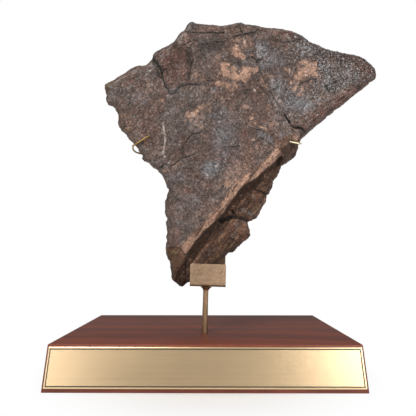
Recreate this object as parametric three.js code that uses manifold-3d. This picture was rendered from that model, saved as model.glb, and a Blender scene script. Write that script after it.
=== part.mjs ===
// A broken plate of fossil frill bone on a display stand.
// Millimetres, Z up. Seen from the front X runs to the right and the front faces -Y.
// The origin is the middle of the wooden base's underside.

import * as THREE from 'three';
import Module from 'manifold-3d';
import { mergeVertices } from 'three/addons/utils/BufferGeometryUtils.js';

// Wooden base, with a front that leans back
const BASE_WIDTH = 305;
const BASE_DEPTH = 203;
const BASE_HEIGHT = 41.5;
const FRONT_LEAN = 11.2;
const BASE_CHAMFER = 0.8;

// Brass plaque on the leaning front
const PLAQUE_WIDTH = 301;
const PLAQUE_HEIGHT = 37;
const PLAQUE_THICK = 1.5;
const PLAQUE_ABOVE_EDGE = 3.6;

// The post, which stands in a drilled hole and leans a little to the right
const POST_FOOT = { x: -1.2, y: -29.3 };
const POST_LEAN_DEG = 1.6;
const POST_FOOT_RADIUS = 3.45;
const POST_TOP_RADIUS = 3.0;
const POST_FLARE_RADIUS = 6.3;
const POST_FLARE_HEIGHT = 5;
const POST_SUNK = 25;
const HOLE_ROOM = 0.35;
const ROD_SIDES = 24;

// The cradle: one strip bent into a channel under the bone, on top of the post
const CRADLE_WIDTH = 40.7;
const CRADLE_OFFSET = 2.0;
const CRADLE_THICK = 2.5;
const CRADLE_BEND = 3.2;
const CRADLE_FRONT_Y = -31;
const CRADLE_BACK_Y = -4.5;
const CRADLE_BOTTOM = 50.4;
const FRONT_PLATE_HEIGHT = 25.5;
const BACK_PLATE_HEIGHT = 38;

// Hook wires
const WIRE_RADIUS = 1.0;
const WIRE_SIDES = 8;
const WIRE_STEP = 4;

// Neighbours that touch keep this gap
const GAP = 0.3;

// The bone: where its face, its widest ring and its back lie
const FACE_Y = -39;
const WIDEST_Y = -27;
const WIDEST_BEHIND_FACE = 4;
const BACK_Y = -11;
const BACK_ROUNDING = 4.5;
const FRONT_ROUNDING = 2.2;
const FRONT_ROUNDING_WIDTH = 7;
const BACK_ROUNDING_WIDTH = 40;
const SEAT_TOP = 119;
const SEAT_LEFT = -19.4;

// The face bows back by this much at its sides and at its top and bottom
const BOW = { x: 20, halfWidth: 180, atSides: 5, z: 285, halfHeight: 130, atEnds: 2 };

// Spacing of the points on the bone, and the field over which they are scattered
const FRONT_STEP = 5.2;
const BACK_STEP = 10;
const RIM_STEP = 5.4;
const LINE_STEP = 4.6;
const FLAKE_STEP = 7;
const ROW_PITCH = 0.87;
const SCATTER = 0.42;
const CLEARANCE = 0.62;
const FIELD = { left: -130, bottom: 85, width: 350, height: 340 };
const DICE_SEED = 66;

// How far the bone's rims lie inside its outline, and how rough its faces are
const FRONT_INSET = 2;
const WAIST_INSET = 1;
const BACK_INSET = 5;
const SKIN_ROUGHNESS = 0.35;
const BREAK_ROUGHNESS = 0.9;
const EDGE_ROUGHNESS = 0.75;

// Outline of the bone seen from the front, [x, z], clockwise from the top left corner
const OUTLINE = [
  [-26, 400], [-24.5, 403], [-19.8, 407.8], [-15.5, 408.2], [-10.5, 405.5], [-5, 405], [4, 404.8],
  [8.3, 405.3], [14.5, 404], [22, 404.4], [30, 405.4], [37, 408.6], [42, 409.4], [47, 406.4],
  [55, 405.8], [63, 404.2], [70, 402], [80, 401.2], [88, 400.5], [96, 399.4], [104, 397.4],
  [109.5, 395.6], [118.5, 390.8], [125, 384.8], [129.8, 382], [134.5, 381], [140.5, 376.4],
  [150, 373.8], [165, 370.8], [185, 367], [190, 364.8], [196, 360], [200.5, 356.2], [205, 349],
  [205.8, 344], [205.4, 340.5],
  // the long broken edge of the right wing
  [201.8, 336], [197.8, 333.9], [190.4, 327.4], [182, 320.3], [169.8, 311.5], [156.8, 300.8],
  [148.1, 293.4], [136, 283.5], [127.5, 277], [117.2, 267.5], [111.4, 261.2],
  // the lumpy right side below the ledge
  [109, 257.6], [109.5, 253.8], [107, 245.1], [100.5, 239], [94.8, 234.6], [89, 232],
  [87.3, 225.5], [84.6, 219.5], [79.4, 214.6], [78.1, 206.3], [74, 198.6], [71.4, 197.3], [70.2, 189.5],
  [64.6, 179.5], [59.4, 170.3], [51.8, 167.1], [48, 166], [50.8, 156.8], [51, 150.1],
  [47, 145.2], [36.9, 136.2], [31.1, 130.5], [26, 129.9],
  // the end that sits in the cradle
  [23.5, 126.5], [18, 123.2], [11, 120.6], [6.5, 115], [2.5, 106], [-3, 98.8], [-10, 96.2],
  [-19.5, 96.6],
  // the lower tip and the left side
  [-23.7, 93.2], [-27, 90.9], [-30.8, 91.2], [-36.2, 95.3], [-38.9, 99.8], [-39.7, 108.4],
  [-42.3, 120.3], [-45.7, 129.2], [-46.8, 134.8], [-44.7, 143.7], [-45.4, 148.6], [-44.2, 153.5],
  [-46.4, 165.7], [-44.7, 169.8], [-47.4, 178], [-47.6, 188.8], [-43.4, 201.3], [-46.1, 210.3],
  [-50.8, 219.8], [-56.5, 226.2], [-64.6, 232], [-66.5, 235.8], [-72.7, 237.1], [-75, 240.5],
  [-74, 244.4], [-79.2, 249.7], [-79.8, 253], [-84.3, 257.5], [-91.7, 265], [-97, 272.3],
  [-103.8, 278.9], [-105.3, 284], [-104.3, 291.4], [-105.6, 295.5], [-107, 299.3], [-110, 303],
  [-113.5, 305.8], [-117.5, 307.6], [-119.6, 310.3], [-120.5, 313.8], [-119.3, 317],
  [-120.6, 321], [-122.4, 326], [-122.2, 330], [-119.8, 332.6], [-115, 334], [-110, 336.2],
  [-103, 341.2], [-99, 343], [-94.5, 346.6], [-90.5, 350], [-84, 352.6], [-79.8, 354.2],
  [-76, 353.4], [-71.5, 353], [-69, 357], [-66, 361], [-64.2, 365.4], [-63.8, 367.2],
  [-58.5, 371.4], [-50, 375.9], [-43, 379.4], [-39.5, 381.4], [-37, 385], [-35, 388.5],
  [-33.4, 392], [-31.6, 394.4], [-27.3, 396.4], [-26.3, 397.6],
];

// The rim of the bone, counterclockwise, in short steps
const RIM = walk([...OUTLINE].reverse(), RIM_STEP, true);

// Foot of the ledge, from the right prong down to the lower tip. The recess is to its right.
const LEDGE = [
  [133, 258], [110, 258], [99, 258.5], [95, 256], [90, 252], [87, 249], [88, 243], [84, 240],
  [80, 236], [73, 229], [65, 222], [58, 216], [52, 212], [45, 208], [39.6, 204], [34.3, 196],
  [30.4, 191], [25, 183], [21.2, 177], [16.6, 171.7], [11.3, 166.5], [5.4, 161], [-0.5, 155],
  [-6, 149], [-11.5, 143], [-18, 134.5], [-21, 129], [-24.5, 121.5], [-28, 115], [-33.5, 108],
  [-36, 100], [-52, 78],
];
const RECESS_CORNERS = [[-52, 60], [135, 60]];
const BEVEL_WIDTH = 7.5;
const BEVEL_DROP = 4;
const BEVEL_NARROWS = { from: 66, to: 88, by: 5.5 };
const CLIFF_WIDTH = 2.6;
const CLIFF_DROP = 9.5;
const GUTTER_RISE = 5;
const GUTTER = { from: 4, to: 19 };
const PRONG = { from: 84, to: 93, slope: 20 };

// Left and lower edges of the raised flap at the top left
const FLAP = [
  [-73, 380], [-62, 362], [-59, 357], [-56, 353], [-53, 350], [-52, 345], [-50, 342], [-50, 336],
  [-48, 331], [-46, 326], [-43, 321], [-40, 316.5], [-36, 320], [-33, 324], [-29, 327], [-24, 328],
  [-20, 329], [-10, 328.5], [0, 328.5], [14, 331.8], [20, 333],
];
const FLAP_CORNERS = [[26, 430], [-75, 430]];
const FLAP_HEIGHT = 2.6;
const FLAP_STEP = 1.4;
const FLAP_FADES = { from: -18, to: 24 };

// Upper edge of the rough broken end at the lower tip
const TIP_BREAK = [[-59, 134], [-45, 135], [-36, 137], [-32, 138], [-28, 136], [-25, 131], [-23, 129]];
const TIP_CORNERS = [[-20, 60], [-60, 60]];
const TIP_DROP = 2.4;
const TIP_SLOPE = 0.09;

// Cracks: a line, with how deep it is and how far it spreads to each side
const CRACKS = [
  { line: [[-24, 392.8], [-15, 391], [5, 392], [22, 393]], depth: 1.5, spread: 2.6 },
  { line: [[26, 384.5], [40, 389.8], [53, 392.5], [64, 397]], depth: 1.6, spread: 2.6 },
  { line: [[-28, 374], [-20, 379], [-10, 382]], depth: 1.2, spread: 2.6 },
  { line: [[55, 362], [60.5, 356], [67, 358.5]], depth: 1.4, spread: 2.6 },
  { line: [[68, 332], [75.5, 320], [83, 304.5], [92.5, 290.5]], depth: 1.4, spread: 2.6 },
  { line: [[92.5, 290.5], [99.5, 277], [107, 272.5], [115.5, 271.5]], depth: 2.2, spread: 2.8 },
  { line: [[-61, 228.6], [-50, 227.5], [-39, 231], [-25, 239]], depth: 1.3, spread: 2.6 },
  { line: [[72, 378.5], [86, 379], [95, 380.5], [113, 385]], depth: 1.2, spread: 2.6 },
  { line: [[44, 168], [35, 171], [28, 169.5], [10, 160]], depth: 3.4, spread: 3.6 },
  { line: [[36, 172], [28.5, 184]], depth: 2.6, spread: 3.4 },
];

// Rounded lumps and hollows, [x, z, radius, height]
const LUMPS = [
  [47, 203, 10, 2.4], [61, 194, 11, 3.2], [72, 206, 9, 2.6], [57, 177, 9, 3.4], [41, 182, 10, 2.2],
  [79, 223, 8, 2.2], [96, 242, 9, 1.6], [44, 155, 10, 2.6], [28, 146, 15, 2.6], [6, 130, 13, 2.2],
  [-28, 343, 11, -1.6], [-26, 360, 11, -1.8], [-24, 374, 9, -1.4], [-15, 347, 11, 1.2],
  [-83, 330, 26, 1.4], [-76, 286, 26, -1.6], [15, 247, 42, -1.8], [59, 286, 34, 1.4],
  [137, 341, 34, 1.5], [162, 321, 22, -1.6], [-10, 193, 30, 1.2], [88, 365, 24, 1.3],
  [-19, 120, 5, 4], [-23, 111, 5.5, 6], [-28, 103, 5.5, 4.5],
];

// The back: a layer that has flaked off below a line, and broad swells and hollows
const BACK_FLAKE = [
  [-140, 312], [-96, 318], [-58, 334], [-20, 326], [16, 338], [52, 330], [88, 344], [128, 336],
  [160, 348], [215, 352],
];
const BACK_FLAKE_CORNERS = [[215, 430], [-140, 430]];
const BACK_FLAKE_HEIGHT = 2;
const BACK_LUMPS = [
  [-70, 296, 24, 1.6], [-20, 276, 26, -1.8], [42, 292, 30, 1.8], [96, 316, 24, -1.6],
  [150, 344, 22, 1.4], [20, 220, 26, -1.6], [-18, 180, 22, 1.6], [14, 150, 18, -1.2],
  [-4, 372, 26, 1.6], [70, 376, 26, -1.4],
];

// A repeatable run of numbers between 0 and 1
function makeDice(seed) {
  let state = seed;
  return () => {
    state = (state * 1664525 + 1013904223) % 4294967296;
    return state / 4294967296;
  };
}

function ramp(low, high, value) {
  return Math.min(Math.max((value - low) / (high - low), 0), 1);
}

function smoothstep(low, high, value) {
  const t = ramp(low, high, value);
  return t * t * (3 - 2 * t);
}

function distanceToLine(x, z, line) {
  let nearest = Infinity;
  for (let i = 0; i + 1 < line.length; i += 1) {
    const [ax, az] = line[i];
    const [bx, bz] = line[i + 1];
    const along = ((x - ax) * (bx - ax) + (z - az) * (bz - az)) / ((bx - ax) ** 2 + (bz - az) ** 2);
    const t = Math.min(Math.max(along, 0), 1);
    nearest = Math.min(nearest, Math.hypot(x - ax - t * (bx - ax), z - az - t * (bz - az)));
  }
  return nearest;
}

function isInside(x, z, loop) {
  let inside = false;
  for (let i = 0, j = loop.length - 1; i < loop.length; j = i, i += 1) {
    const [ax, az] = loop[i];
    const [bx, bz] = loop[j];
    if (az > z !== bz > z && x < ((bx - ax) * (z - az)) / (bz - az) + ax) inside = !inside;
  }
  return inside;
}

// Distance to a line, positive on the side that the corners close off
function sideDistance(x, z, line, corners) {
  const sign = isInside(x, z, [...line, ...corners]) ? 1 : -1;
  return sign * distanceToLine(x, z, line);
}

// How far the face steps back at the ledge: a bevel, a steep drop, then a rise to the far rim.
// Under the right prong the drop is a plain slope instead.
function ledgeDrop(x, z) {
  const side = sideDistance(x, z, LEDGE, RECESS_CORNERS);
  const prong = smoothstep(PRONG.from, PRONG.to, x);
  const bevelWidth = BEVEL_WIDTH - BEVEL_NARROWS.by * smoothstep(BEVEL_NARROWS.from, BEVEL_NARROWS.to, x);
  const bevel = BEVEL_DROP * ramp(-bevelWidth, 0.5, side) * (1 - 0.5 * prong);
  const cliff = CLIFF_DROP * smoothstep(0, CLIFF_WIDTH, side) * (1 - prong);
  const slope = CLIFF_DROP * smoothstep(0, PRONG.slope, side) * prong;
  const rise = GUTTER_RISE * smoothstep(GUTTER.from, GUTTER.to, side) * (1 - prong);
  return bevel + cliff + slope - rise;
}

function flapRise(x, z) {
  const side = sideDistance(x, z, FLAP, FLAP_CORNERS);
  const fade = 1 - smoothstep(FLAP_FADES.from, FLAP_FADES.to, x);
  return FLAP_HEIGHT * smoothstep(-FLAP_STEP, 0, side) * fade;
}

function tipDrop(x, z) {
  const side = sideDistance(x, z, TIP_BREAK, TIP_CORNERS);
  return TIP_DROP * smoothstep(-1, 2, side) + TIP_SLOPE * Math.max(side, 0);
}

function lumpRise(x, z, lumps) {
  let rise = 0;
  for (const [cx, cz, radius, height] of lumps) {
    rise += height * Math.exp(-((x - cx) ** 2 + (z - cz) ** 2) / radius ** 2);
  }
  return rise;
}

function crackDrop(x, z) {
  let drop = 0;
  for (const crack of CRACKS) {
    const near = distanceToLine(x, z, crack.line) / crack.spread;
    drop = Math.max(drop, crack.depth * (1 - smoothstep(0, 1, near)));
  }
  return drop;
}

// Where the bone sits in the cradle its faces stay clear of the plates
function isInSeat(x, z) {
  return x > SEAT_LEFT && z < SEAT_TOP;
}

function frontY(x, z) {
  const bowAcross = BOW.atSides * ((x - BOW.x) / BOW.halfWidth) ** 2;
  const bowUpwards = BOW.atEnds * ((z - BOW.z) / BOW.halfHeight) ** 2;
  const fromRim = distanceToLine(x, z, RIM);
  const edge = FRONT_ROUNDING * (1 - smoothstep(0, FRONT_ROUNDING_WIDTH, fromRim));
  const drop = ledgeDrop(x, z) + tipDrop(x, z) + crackDrop(x, z);
  const rise = flapRise(x, z) + lumpRise(x, z, LUMPS);
  const y = FACE_Y + bowAcross + bowUpwards + edge + drop - rise;
  const plateBack = CRADLE_FRONT_Y + CRADLE_THICK + 2 * GAP;
  return isInSeat(x, z) ? Math.max(y, plateBack) : y;
}

function backY(x, z) {
  const nearRim = 1 - smoothstep(0, BACK_ROUNDING_WIDTH, distanceToLine(x, z, RIM));
  const flakeSide = sideDistance(x, z, BACK_FLAKE, BACK_FLAKE_CORNERS);
  const relief = BACK_FLAKE_HEIGHT * smoothstep(-1, 1, flakeSide) + lumpRise(x, z, BACK_LUMPS);
  const plateFront = CRADLE_BACK_Y - CRADLE_THICK - 2 * GAP;
  return isInSeat(x, z) ? plateFront : BACK_Y - BACK_ROUNDING * nearRim + relief;
}

// Points along a line, no further apart than the step
function walk(line, step, closed) {
  const points = [];
  const count = closed ? line.length : line.length - 1;
  for (let i = 0; i < count; i += 1) {
    const [ax, az] = line[i];
    const [bx, bz] = line[(i + 1) % line.length];
    const parts = Math.max(1, Math.round(Math.hypot(bx - ax, bz - az) / step));
    for (let k = 0; k < parts; k += 1) {
      points.push([ax + ((bx - ax) * k) / parts, az + ((bz - az) * k) / parts]);
    }
  }
  return points;
}

// A loop moved to its left side, in small steps that are smoothed so that it doesn't fold
function shrink(loop, distance) {
  const steps = Math.ceil(distance);
  let current = loop;
  for (let s = 0; s < steps; s += 1) {
    current = current.map((point, i) => {
      const before = current[(i + current.length - 1) % current.length];
      const after = current[(i + 1) % current.length];
      const dx = after[0] - before[0];
      const dz = after[1] - before[1];
      const length = Math.hypot(dx, dz);
      const even = [(before[0] + after[0]) / 2, (before[1] + after[1]) / 2];
      const x = 0.8 * point[0] + 0.2 * even[0] - ((dz / length) * distance) / steps;
      const z = 0.8 * point[1] + 0.2 * even[1] + ((dx / length) * distance) / steps;
      return [x, z];
    });
  }
  return current;
}

// Points on both sides of a line, at the given distances to its left
function parallels(line, step, offsets) {
  const middle = walk(line, step, false);
  return offsets.flatMap((offset) => middle.slice(0, -1).map((point, i) => {
    const next = middle[i + 1];
    const length = Math.hypot(next[0] - point[0], next[1] - point[1]);
    const x = point[0] - ((next[1] - point[1]) / length) * offset;
    const z = point[1] + ((next[0] - point[0]) / length) * offset;
    return [x, z];
  }));
}

// Scattered points that fill a loop and keep clear of the points already there
function fill(loop, step, taken, dice) {
  const points = [];
  for (let row = 0; row * step * ROW_PITCH < FIELD.height; row += 1) {
    for (let column = 0; column * step < FIELD.width; column += 1) {
      const x = FIELD.left + (column + (row % 2) / 2 + (dice() - 0.5) * SCATTER) * step;
      const z = FIELD.bottom + (row * ROW_PITCH + (dice() - 0.5) * SCATTER) * step;
      const free = taken.every(([px, pz]) => Math.hypot(px - x, pz - z) > step * CLEARANCE);
      if (free && isInside(x, z, loop)) points.push([x, z]);
    }
  }
  return points;
}

function circleThrough(points, a, b, c) {
  const [ax, az] = points[a];
  const bx = points[b][0] - ax;
  const bz = points[b][1] - az;
  const cx = points[c][0] - ax;
  const cz = points[c][1] - az;
  const area = 2 * (bx * cz - bz * cx);
  const ux = (cz * (bx * bx + bz * bz) - bz * (cx * cx + cz * cz)) / area;
  const uz = (bx * (cx * cx + cz * cz) - cx * (bx * bx + bz * bz)) / area;
  return { a, b, c, x: ax + ux, z: az + uz, reach: ux * ux + uz * uz };
}

// Delaunay triangles of points in the plane, counterclockwise, by adding one point at a time
function triangulate(points) {
  const count = points.length;
  const all = [...points, [-9000, -9000], [9000, -9000], [0, 9000]];
  let triangles = [circleThrough(all, count, count + 1, count + 2)];
  for (let index = 0; index < count; index += 1) {
    const [x, z] = all[index];
    const rim = new Map();
    const kept = [];
    for (const t of triangles) {
      if ((x - t.x) ** 2 + (z - t.z) ** 2 >= t.reach) {
        kept.push(t);
        continue;
      }
      for (const [from, to] of [[t.a, t.b], [t.b, t.c], [t.c, t.a]]) {
        if (!rim.delete(`${to}_${from}`)) rim.set(`${from}_${to}`, [from, to]);
      }
    }
    for (const [from, to] of rim.values()) kept.push(circleThrough(all, from, to, index));
    triangles = kept;
  }
  return triangles.filter((t) => Math.max(t.a, t.b, t.c) < count);
}

// Triangles of one face: its rim comes first in the list of points
function faceTriangles(points, rim) {
  return triangulate(points).filter(({ a, b, c }) => {
    const x = (points[a][0] + points[b][0] + points[c][0]) / 3;
    const z = (points[a][1] + points[b][1] + points[c][1]) / 3;
    return isInside(x, z, rim);
  });
}

function wallTriangles(count, first, second) {
  const triangles = [];
  for (let i = 0; i < count; i += 1) {
    const j = (i + 1) % count;
    triangles.push([first + j, first + i, second + i], [first + j, second + i, second + j]);
  }
  return triangles;
}

function meshGeometry(vertices, triangles) {
  const geometry = new THREE.BufferGeometry();
  geometry.setAttribute('position', new THREE.Float32BufferAttribute(vertices.flat(), 3));
  geometry.setIndex(triangles.flat());
  geometry.computeVertexNormals();
  return geometry;
}

function keepInside(points, rim, margin) {
  return points.filter(([x, z]) => isInside(x, z, rim) && distanceToLine(x, z, rim) > margin);
}

// Points of the front face in the plane, with rows of them along the ledge, the flap and the cracks
function frontPlan(rim, dice) {
  const lines = keepInside([
    ...parallels(LEDGE, LINE_STEP, [0, CLIFF_WIDTH, -BEVEL_WIDTH]),
    ...parallels(FLAP, LINE_STEP, [0.2, -FLAP_STEP - 0.2]),
    ...parallels(TIP_BREAK, LINE_STEP, [1, -2]),
    ...CRACKS.flatMap((crack) => walk(crack.line, LINE_STEP, false)),
  ], rim, LINE_STEP / 2);
  return [...rim, ...lines, ...fill(rim, FRONT_STEP, [...rim, ...lines], dice)];
}

function backPlan(rim, dice) {
  const flake = keepInside(parallels(BACK_FLAKE, FLAKE_STEP, [1, -1]), rim, FLAKE_STEP / 2);
  return [...rim, ...flake, ...fill(rim, BACK_STEP, [...rim, ...flake], dice)];
}

// The bone is one solid: a front, a back and a wall of three bands between their rims
function boneGeometry() {
  const dice = makeDice(DICE_SEED);
  const shake = (size) => (dice() - 0.5) * 2 * size;
  const frontRim = shrink(RIM, FRONT_INSET);
  const waistRim = shrink(RIM, WAIST_INSET);
  const backRim = shrink(RIM, BACK_INSET);
  const frontPoints = frontPlan(frontRim, dice);
  const backPoints = backPlan(backRim, dice);

  const front = frontPoints.map(([x, z]) => {
    const broken = ledgeDrop(x, z) > BEVEL_DROP || tipDrop(x, z) > 1;
    const jitter = shake(broken ? BREAK_ROUGHNESS : SKIN_ROUGHNESS);
    return [x, frontY(x, z) + (isInSeat(x, z) ? 0 : jitter), z];
  });
  const widest = RIM.map(([x, z]) => {
    const y = Math.max(WIDEST_Y, frontY(x, z) + WIDEST_BEHIND_FACE) + shake(EDGE_ROUGHNESS);
    return [x, y, z];
  });
  const waist = waistRim.map(([x, z], i) => [x, (widest[i][1] * 2 + backY(x, z)) / 3, z]);
  const back = backPoints.map(([x, z]) => [x, backY(x, z), z]);

  const count = RIM.length;
  const widestStart = front.length;
  const waistStart = widestStart + count;
  const backStart = waistStart + count;
  const triangles = [
    ...faceTriangles(frontPoints, frontRim).map(({ a, b, c }) => [a, b, c]),
    ...wallTriangles(count, 0, widestStart),
    ...wallTriangles(count, widestStart, waistStart),
    ...wallTriangles(count, waistStart, backStart),
    ...faceTriangles(backPoints, backRim).map(({ a, b, c }) => [a, c, b].map((i) => backStart + i)),
  ];
  return meshGeometry([...front, ...widest, ...waist, ...back], triangles);
}

const wasm = await Module();
wasm.setup();

function solidOf(geometry) {
  const bare = geometry.clone();
  bare.deleteAttribute('normal');
  bare.deleteAttribute('uv');
  const merged = mergeVertices(bare, 1e-4);
  const vertProperties = new Float32Array(merged.attributes.position.array);
  const triVerts = new Uint32Array(merged.index.array);
  return new wasm.Manifold(new wasm.Mesh({ numProp: 3, vertProperties, triVerts }));
}

function geometryOf(solid) {
  const mesh = solid.getMesh();
  const geometry = new THREE.BufferGeometry();
  geometry.setAttribute('position', new THREE.BufferAttribute(new Float32Array(mesh.vertProperties), 3));
  geometry.setIndex(Array.from(mesh.triVerts));
  geometry.computeVertexNormals();
  return geometry;
}

// Extrude a profile drawn in [y, z] along X, centred on x = 0
function extrudeAlongX(profile, width) {
  const shape = new THREE.Shape(profile.map(([y, z]) => new THREE.Vector2(y, z)));
  const geometry = new THREE.ExtrudeGeometry(shape, { depth: width, bevelEnabled: false });
  geometry.translate(0, 0, -width / 2);
  geometry.rotateZ(Math.PI / 2);
  geometry.rotateY(Math.PI / 2);
  return geometry;
}

// The wooden block with its leaning front and the drilled hole for the post
function baseGeometry() {
  const front = -BASE_DEPTH / 2;
  const back = BASE_DEPTH / 2;
  const c = BASE_CHAMFER;
  const slopeAtChamfer = FRONT_LEAN * (1 - c / BASE_HEIGHT);
  const block = extrudeAlongX([
    [front, 0], [back, 0], [back, BASE_HEIGHT - c], [back - c, BASE_HEIGHT],
    [front + FRONT_LEAN + c, BASE_HEIGHT], [front + slopeAtChamfer, BASE_HEIGHT - c],
  ], BASE_WIDTH);
  const holeRadius = POST_FOOT_RADIUS + HOLE_ROOM;
  const holeLength = 2 * (POST_SUNK + 1);
  const hole = new THREE.CylinderGeometry(holeRadius, holeRadius, holeLength, ROD_SIDES);
  hole.rotateX(Math.PI / 2);
  hole.rotateY(THREE.MathUtils.degToRad(POST_LEAN_DEG));
  hole.translate(POST_FOOT.x, POST_FOOT.y, BASE_HEIGHT);
  return geometryOf(solidOf(block).subtract(solidOf(hole)));
}

function plaqueGeometry() {
  return new THREE.BoxGeometry(PLAQUE_WIDTH, PLAQUE_THICK, PLAQUE_HEIGHT);
}

// Drawn in the post's own frame, whose origin is where it leaves the wood
function postGeometry() {
  const top = CRADLE_BOTTOM - GAP;
  const neck = top - POST_FLARE_HEIGHT;
  const profile = [
    [0, -POST_SUNK], [POST_FOOT_RADIUS, -POST_SUNK], [POST_FOOT_RADIUS, 0],
    [POST_TOP_RADIUS + 0.1, neck * 0.75], [POST_TOP_RADIUS, neck],
    [POST_TOP_RADIUS + 0.5, neck + 2], [POST_TOP_RADIUS + 1.6, neck + 3.6],
    [POST_FLARE_RADIUS, top - 0.4], [POST_FLARE_RADIUS, top], [0, top],
  ];
  const geometry = new THREE.LatheGeometry(profile.map(([r, z]) => new THREE.Vector2(r, z)), ROD_SIDES);
  geometry.rotateX(Math.PI / 2);
  return geometry;
}

// Quarter turn of points between two edges of the bent strip
function bend(y, z, radius, from, to) {
  return [0, 0.25, 0.5, 0.75, 1].map((t) => {
    const angle = THREE.MathUtils.degToRad(from + (to - from) * t);
    return [y + radius * Math.cos(angle), z + radius * Math.sin(angle)];
  });
}

// The cradle in the post's frame: front plate, floor and taller back plate, bent from one strip
function cradleGeometry() {
  const front = CRADLE_FRONT_Y - POST_FOOT.y;
  const back = CRADLE_BACK_Y - POST_FOOT.y;
  const bottom = CRADLE_BOTTOM;
  const outer = CRADLE_BEND;
  const inner = CRADLE_BEND - CRADLE_THICK;
  const profile = [
    [front, bottom + FRONT_PLATE_HEIGHT],
    ...bend(front + outer, bottom + outer, outer, 180, 270),
    ...bend(back - outer, bottom + outer, outer, 270, 360),
    [back, bottom + BACK_PLATE_HEIGHT],
    [back - CRADLE_THICK, bottom + BACK_PLATE_HEIGHT],
    ...bend(back - outer, bottom + outer, inner, 360, 270),
    ...bend(front + outer, bottom + outer, inner, 270, 180),
    [front + CRADLE_THICK, bottom + FRONT_PLATE_HEIGHT],
  ];
  const geometry = extrudeAlongX(profile, CRADLE_WIDTH);
  geometry.translate(CRADLE_OFFSET, 0, 0);
  return geometry;
}

// A round wire along a smooth curve through the points
function wireGeometry(points) {
  const section = new THREE.Shape();
  for (let i = 0; i < WIRE_SIDES; i += 1) {
    const angle = (i / WIRE_SIDES) * 2 * Math.PI;
    const corner = [WIRE_RADIUS * Math.cos(angle), WIRE_RADIUS * Math.sin(angle)];
    if (i === 0) section.moveTo(...corner);
    else section.lineTo(...corner);
  }
  const vectors = points.map((point) => new THREE.Vector3(...point));
  const path = new THREE.CatmullRomCurve3(vectors, false, 'centripetal');
  const steps = Math.round(path.getLength() / WIRE_STEP);
  return new THREE.ExtrudeGeometry(section, { steps, bevelEnabled: false, extrudePath: path });
}

// From the rear of the back plate up behind the bone, round its left edge and over its face
const LEFT_WIRE = [
  [-8, -3.1, 100], [-8, -3.1, 128], [-12, -4, 156], [-25, -5, 198], [-46, -6, 230], [-66, -7, 246],
  [-78, -10, 250.5], [-84.3, -15, 251.3], [-86.6, -21, 252.1], [-86.2, -28, 253.2], [-84.8, -35, 254],
  [-81.8, -38, 254.9], [-77.2, -38.9, 257.3], [-71.2, -39.3, 261], [-65.8, -39.6, 264.3],
];

// The same on the right, where it clasps the prong above the ledge
const RIGHT_WIRE = [
  [13, -3.1, 100], [13, -3.1, 128], [20, -4, 156], [44, -5, 204], [76, -6, 240], [98, -7.5, 256],
  [108.7, -12, 260.2], [112.4, -19, 260.1], [112.1, -28, 258.2], [110.4, -34.5, 256.4],
  [107, -38, 255.9], [102, -39.2, 256.5], [97.8, -39.5, 257.3],
];

function finish(color, roughness, metalness) {
  return new THREE.MeshStandardMaterial({ color, roughness, metalness });
}

const boneFinish = finish(0x5f4e46, 0.6, 0);
const woodFinish = finish(0x4a241a, 0.45, 0);
const brassFinish = finish(0xa08560, 0.45, 0.9);
const plaqueFinish = finish(0xc8a869, 0.35, 0.9);

function piece(name, geometry, material) {
  const mesh = new THREE.Mesh(geometry, material);
  mesh.name = name;
  return mesh;
}

const part = new THREE.Group();

part.add(piece('base', baseGeometry(), woodFinish));

const slopeAngle = Math.atan2(FRONT_LEAN, BASE_HEIGHT);
const plaqueMiddle = PLAQUE_ABOVE_EDGE + PLAQUE_HEIGHT / 2;
const plaqueOut = GAP + PLAQUE_THICK / 2;
const plaque = piece('plaque', plaqueGeometry(), plaqueFinish);
plaque.rotation.x = -slopeAngle;
plaque.position.set(
  0,
  -BASE_DEPTH / 2 + plaqueMiddle * Math.sin(slopeAngle) - plaqueOut * Math.cos(slopeAngle),
  plaqueMiddle * Math.cos(slopeAngle) + plaqueOut * Math.sin(slopeAngle),
);
part.add(plaque);

const armature = new THREE.Group();
armature.position.set(POST_FOOT.x, POST_FOOT.y, BASE_HEIGHT);
armature.rotation.y = THREE.MathUtils.degToRad(POST_LEAN_DEG);
armature.add(piece('post', postGeometry(), brassFinish));
armature.add(piece('cradle', cradleGeometry(), brassFinish));
part.add(armature);

part.add(piece('left_hook_wire', wireGeometry(LEFT_WIRE), brassFinish));
part.add(piece('right_hook_wire', wireGeometry(RIGHT_WIRE), brassFinish));
part.add(piece('frill_fragment', boneGeometry(), boneFinish));

export default part;
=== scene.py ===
"""A broken plate of fossil frill bone, held by a brass armature over a wooden base.

Each operator makes one piece, or one group of like pieces, around the packed model.
X runs to the right seen from the front, the front faces -Y and Z is up. The shape of the
bone is worked out in millimetres and its mesh, like all the others, is in metres.
"""

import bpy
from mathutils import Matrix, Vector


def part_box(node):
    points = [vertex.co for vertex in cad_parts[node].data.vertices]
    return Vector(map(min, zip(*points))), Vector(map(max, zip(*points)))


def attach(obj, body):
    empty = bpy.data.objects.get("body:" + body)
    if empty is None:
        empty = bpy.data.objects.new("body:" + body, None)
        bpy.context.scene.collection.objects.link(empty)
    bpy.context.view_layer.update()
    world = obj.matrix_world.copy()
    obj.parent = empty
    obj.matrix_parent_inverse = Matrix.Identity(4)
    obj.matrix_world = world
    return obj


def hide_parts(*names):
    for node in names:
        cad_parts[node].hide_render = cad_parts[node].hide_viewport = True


bl_info = {
    "name": "Fossil frill bone on a stand",
    "version": (1, 0, 0),
    "blender": (4, 5, 0),
    "location": "View3D > Sidebar > Fossil",
    "description": "Makes a piece of fossil bone with its armature, plaque and wooden base",
    "category": "Object",
}

import math

import bmesh
import bpy
import numpy as np
from bpy.props import FloatProperty, FloatVectorProperty, PointerProperty
from mathutils import Matrix, Vector
from mathutils.geometry import delaunay_2d_cdt

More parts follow.
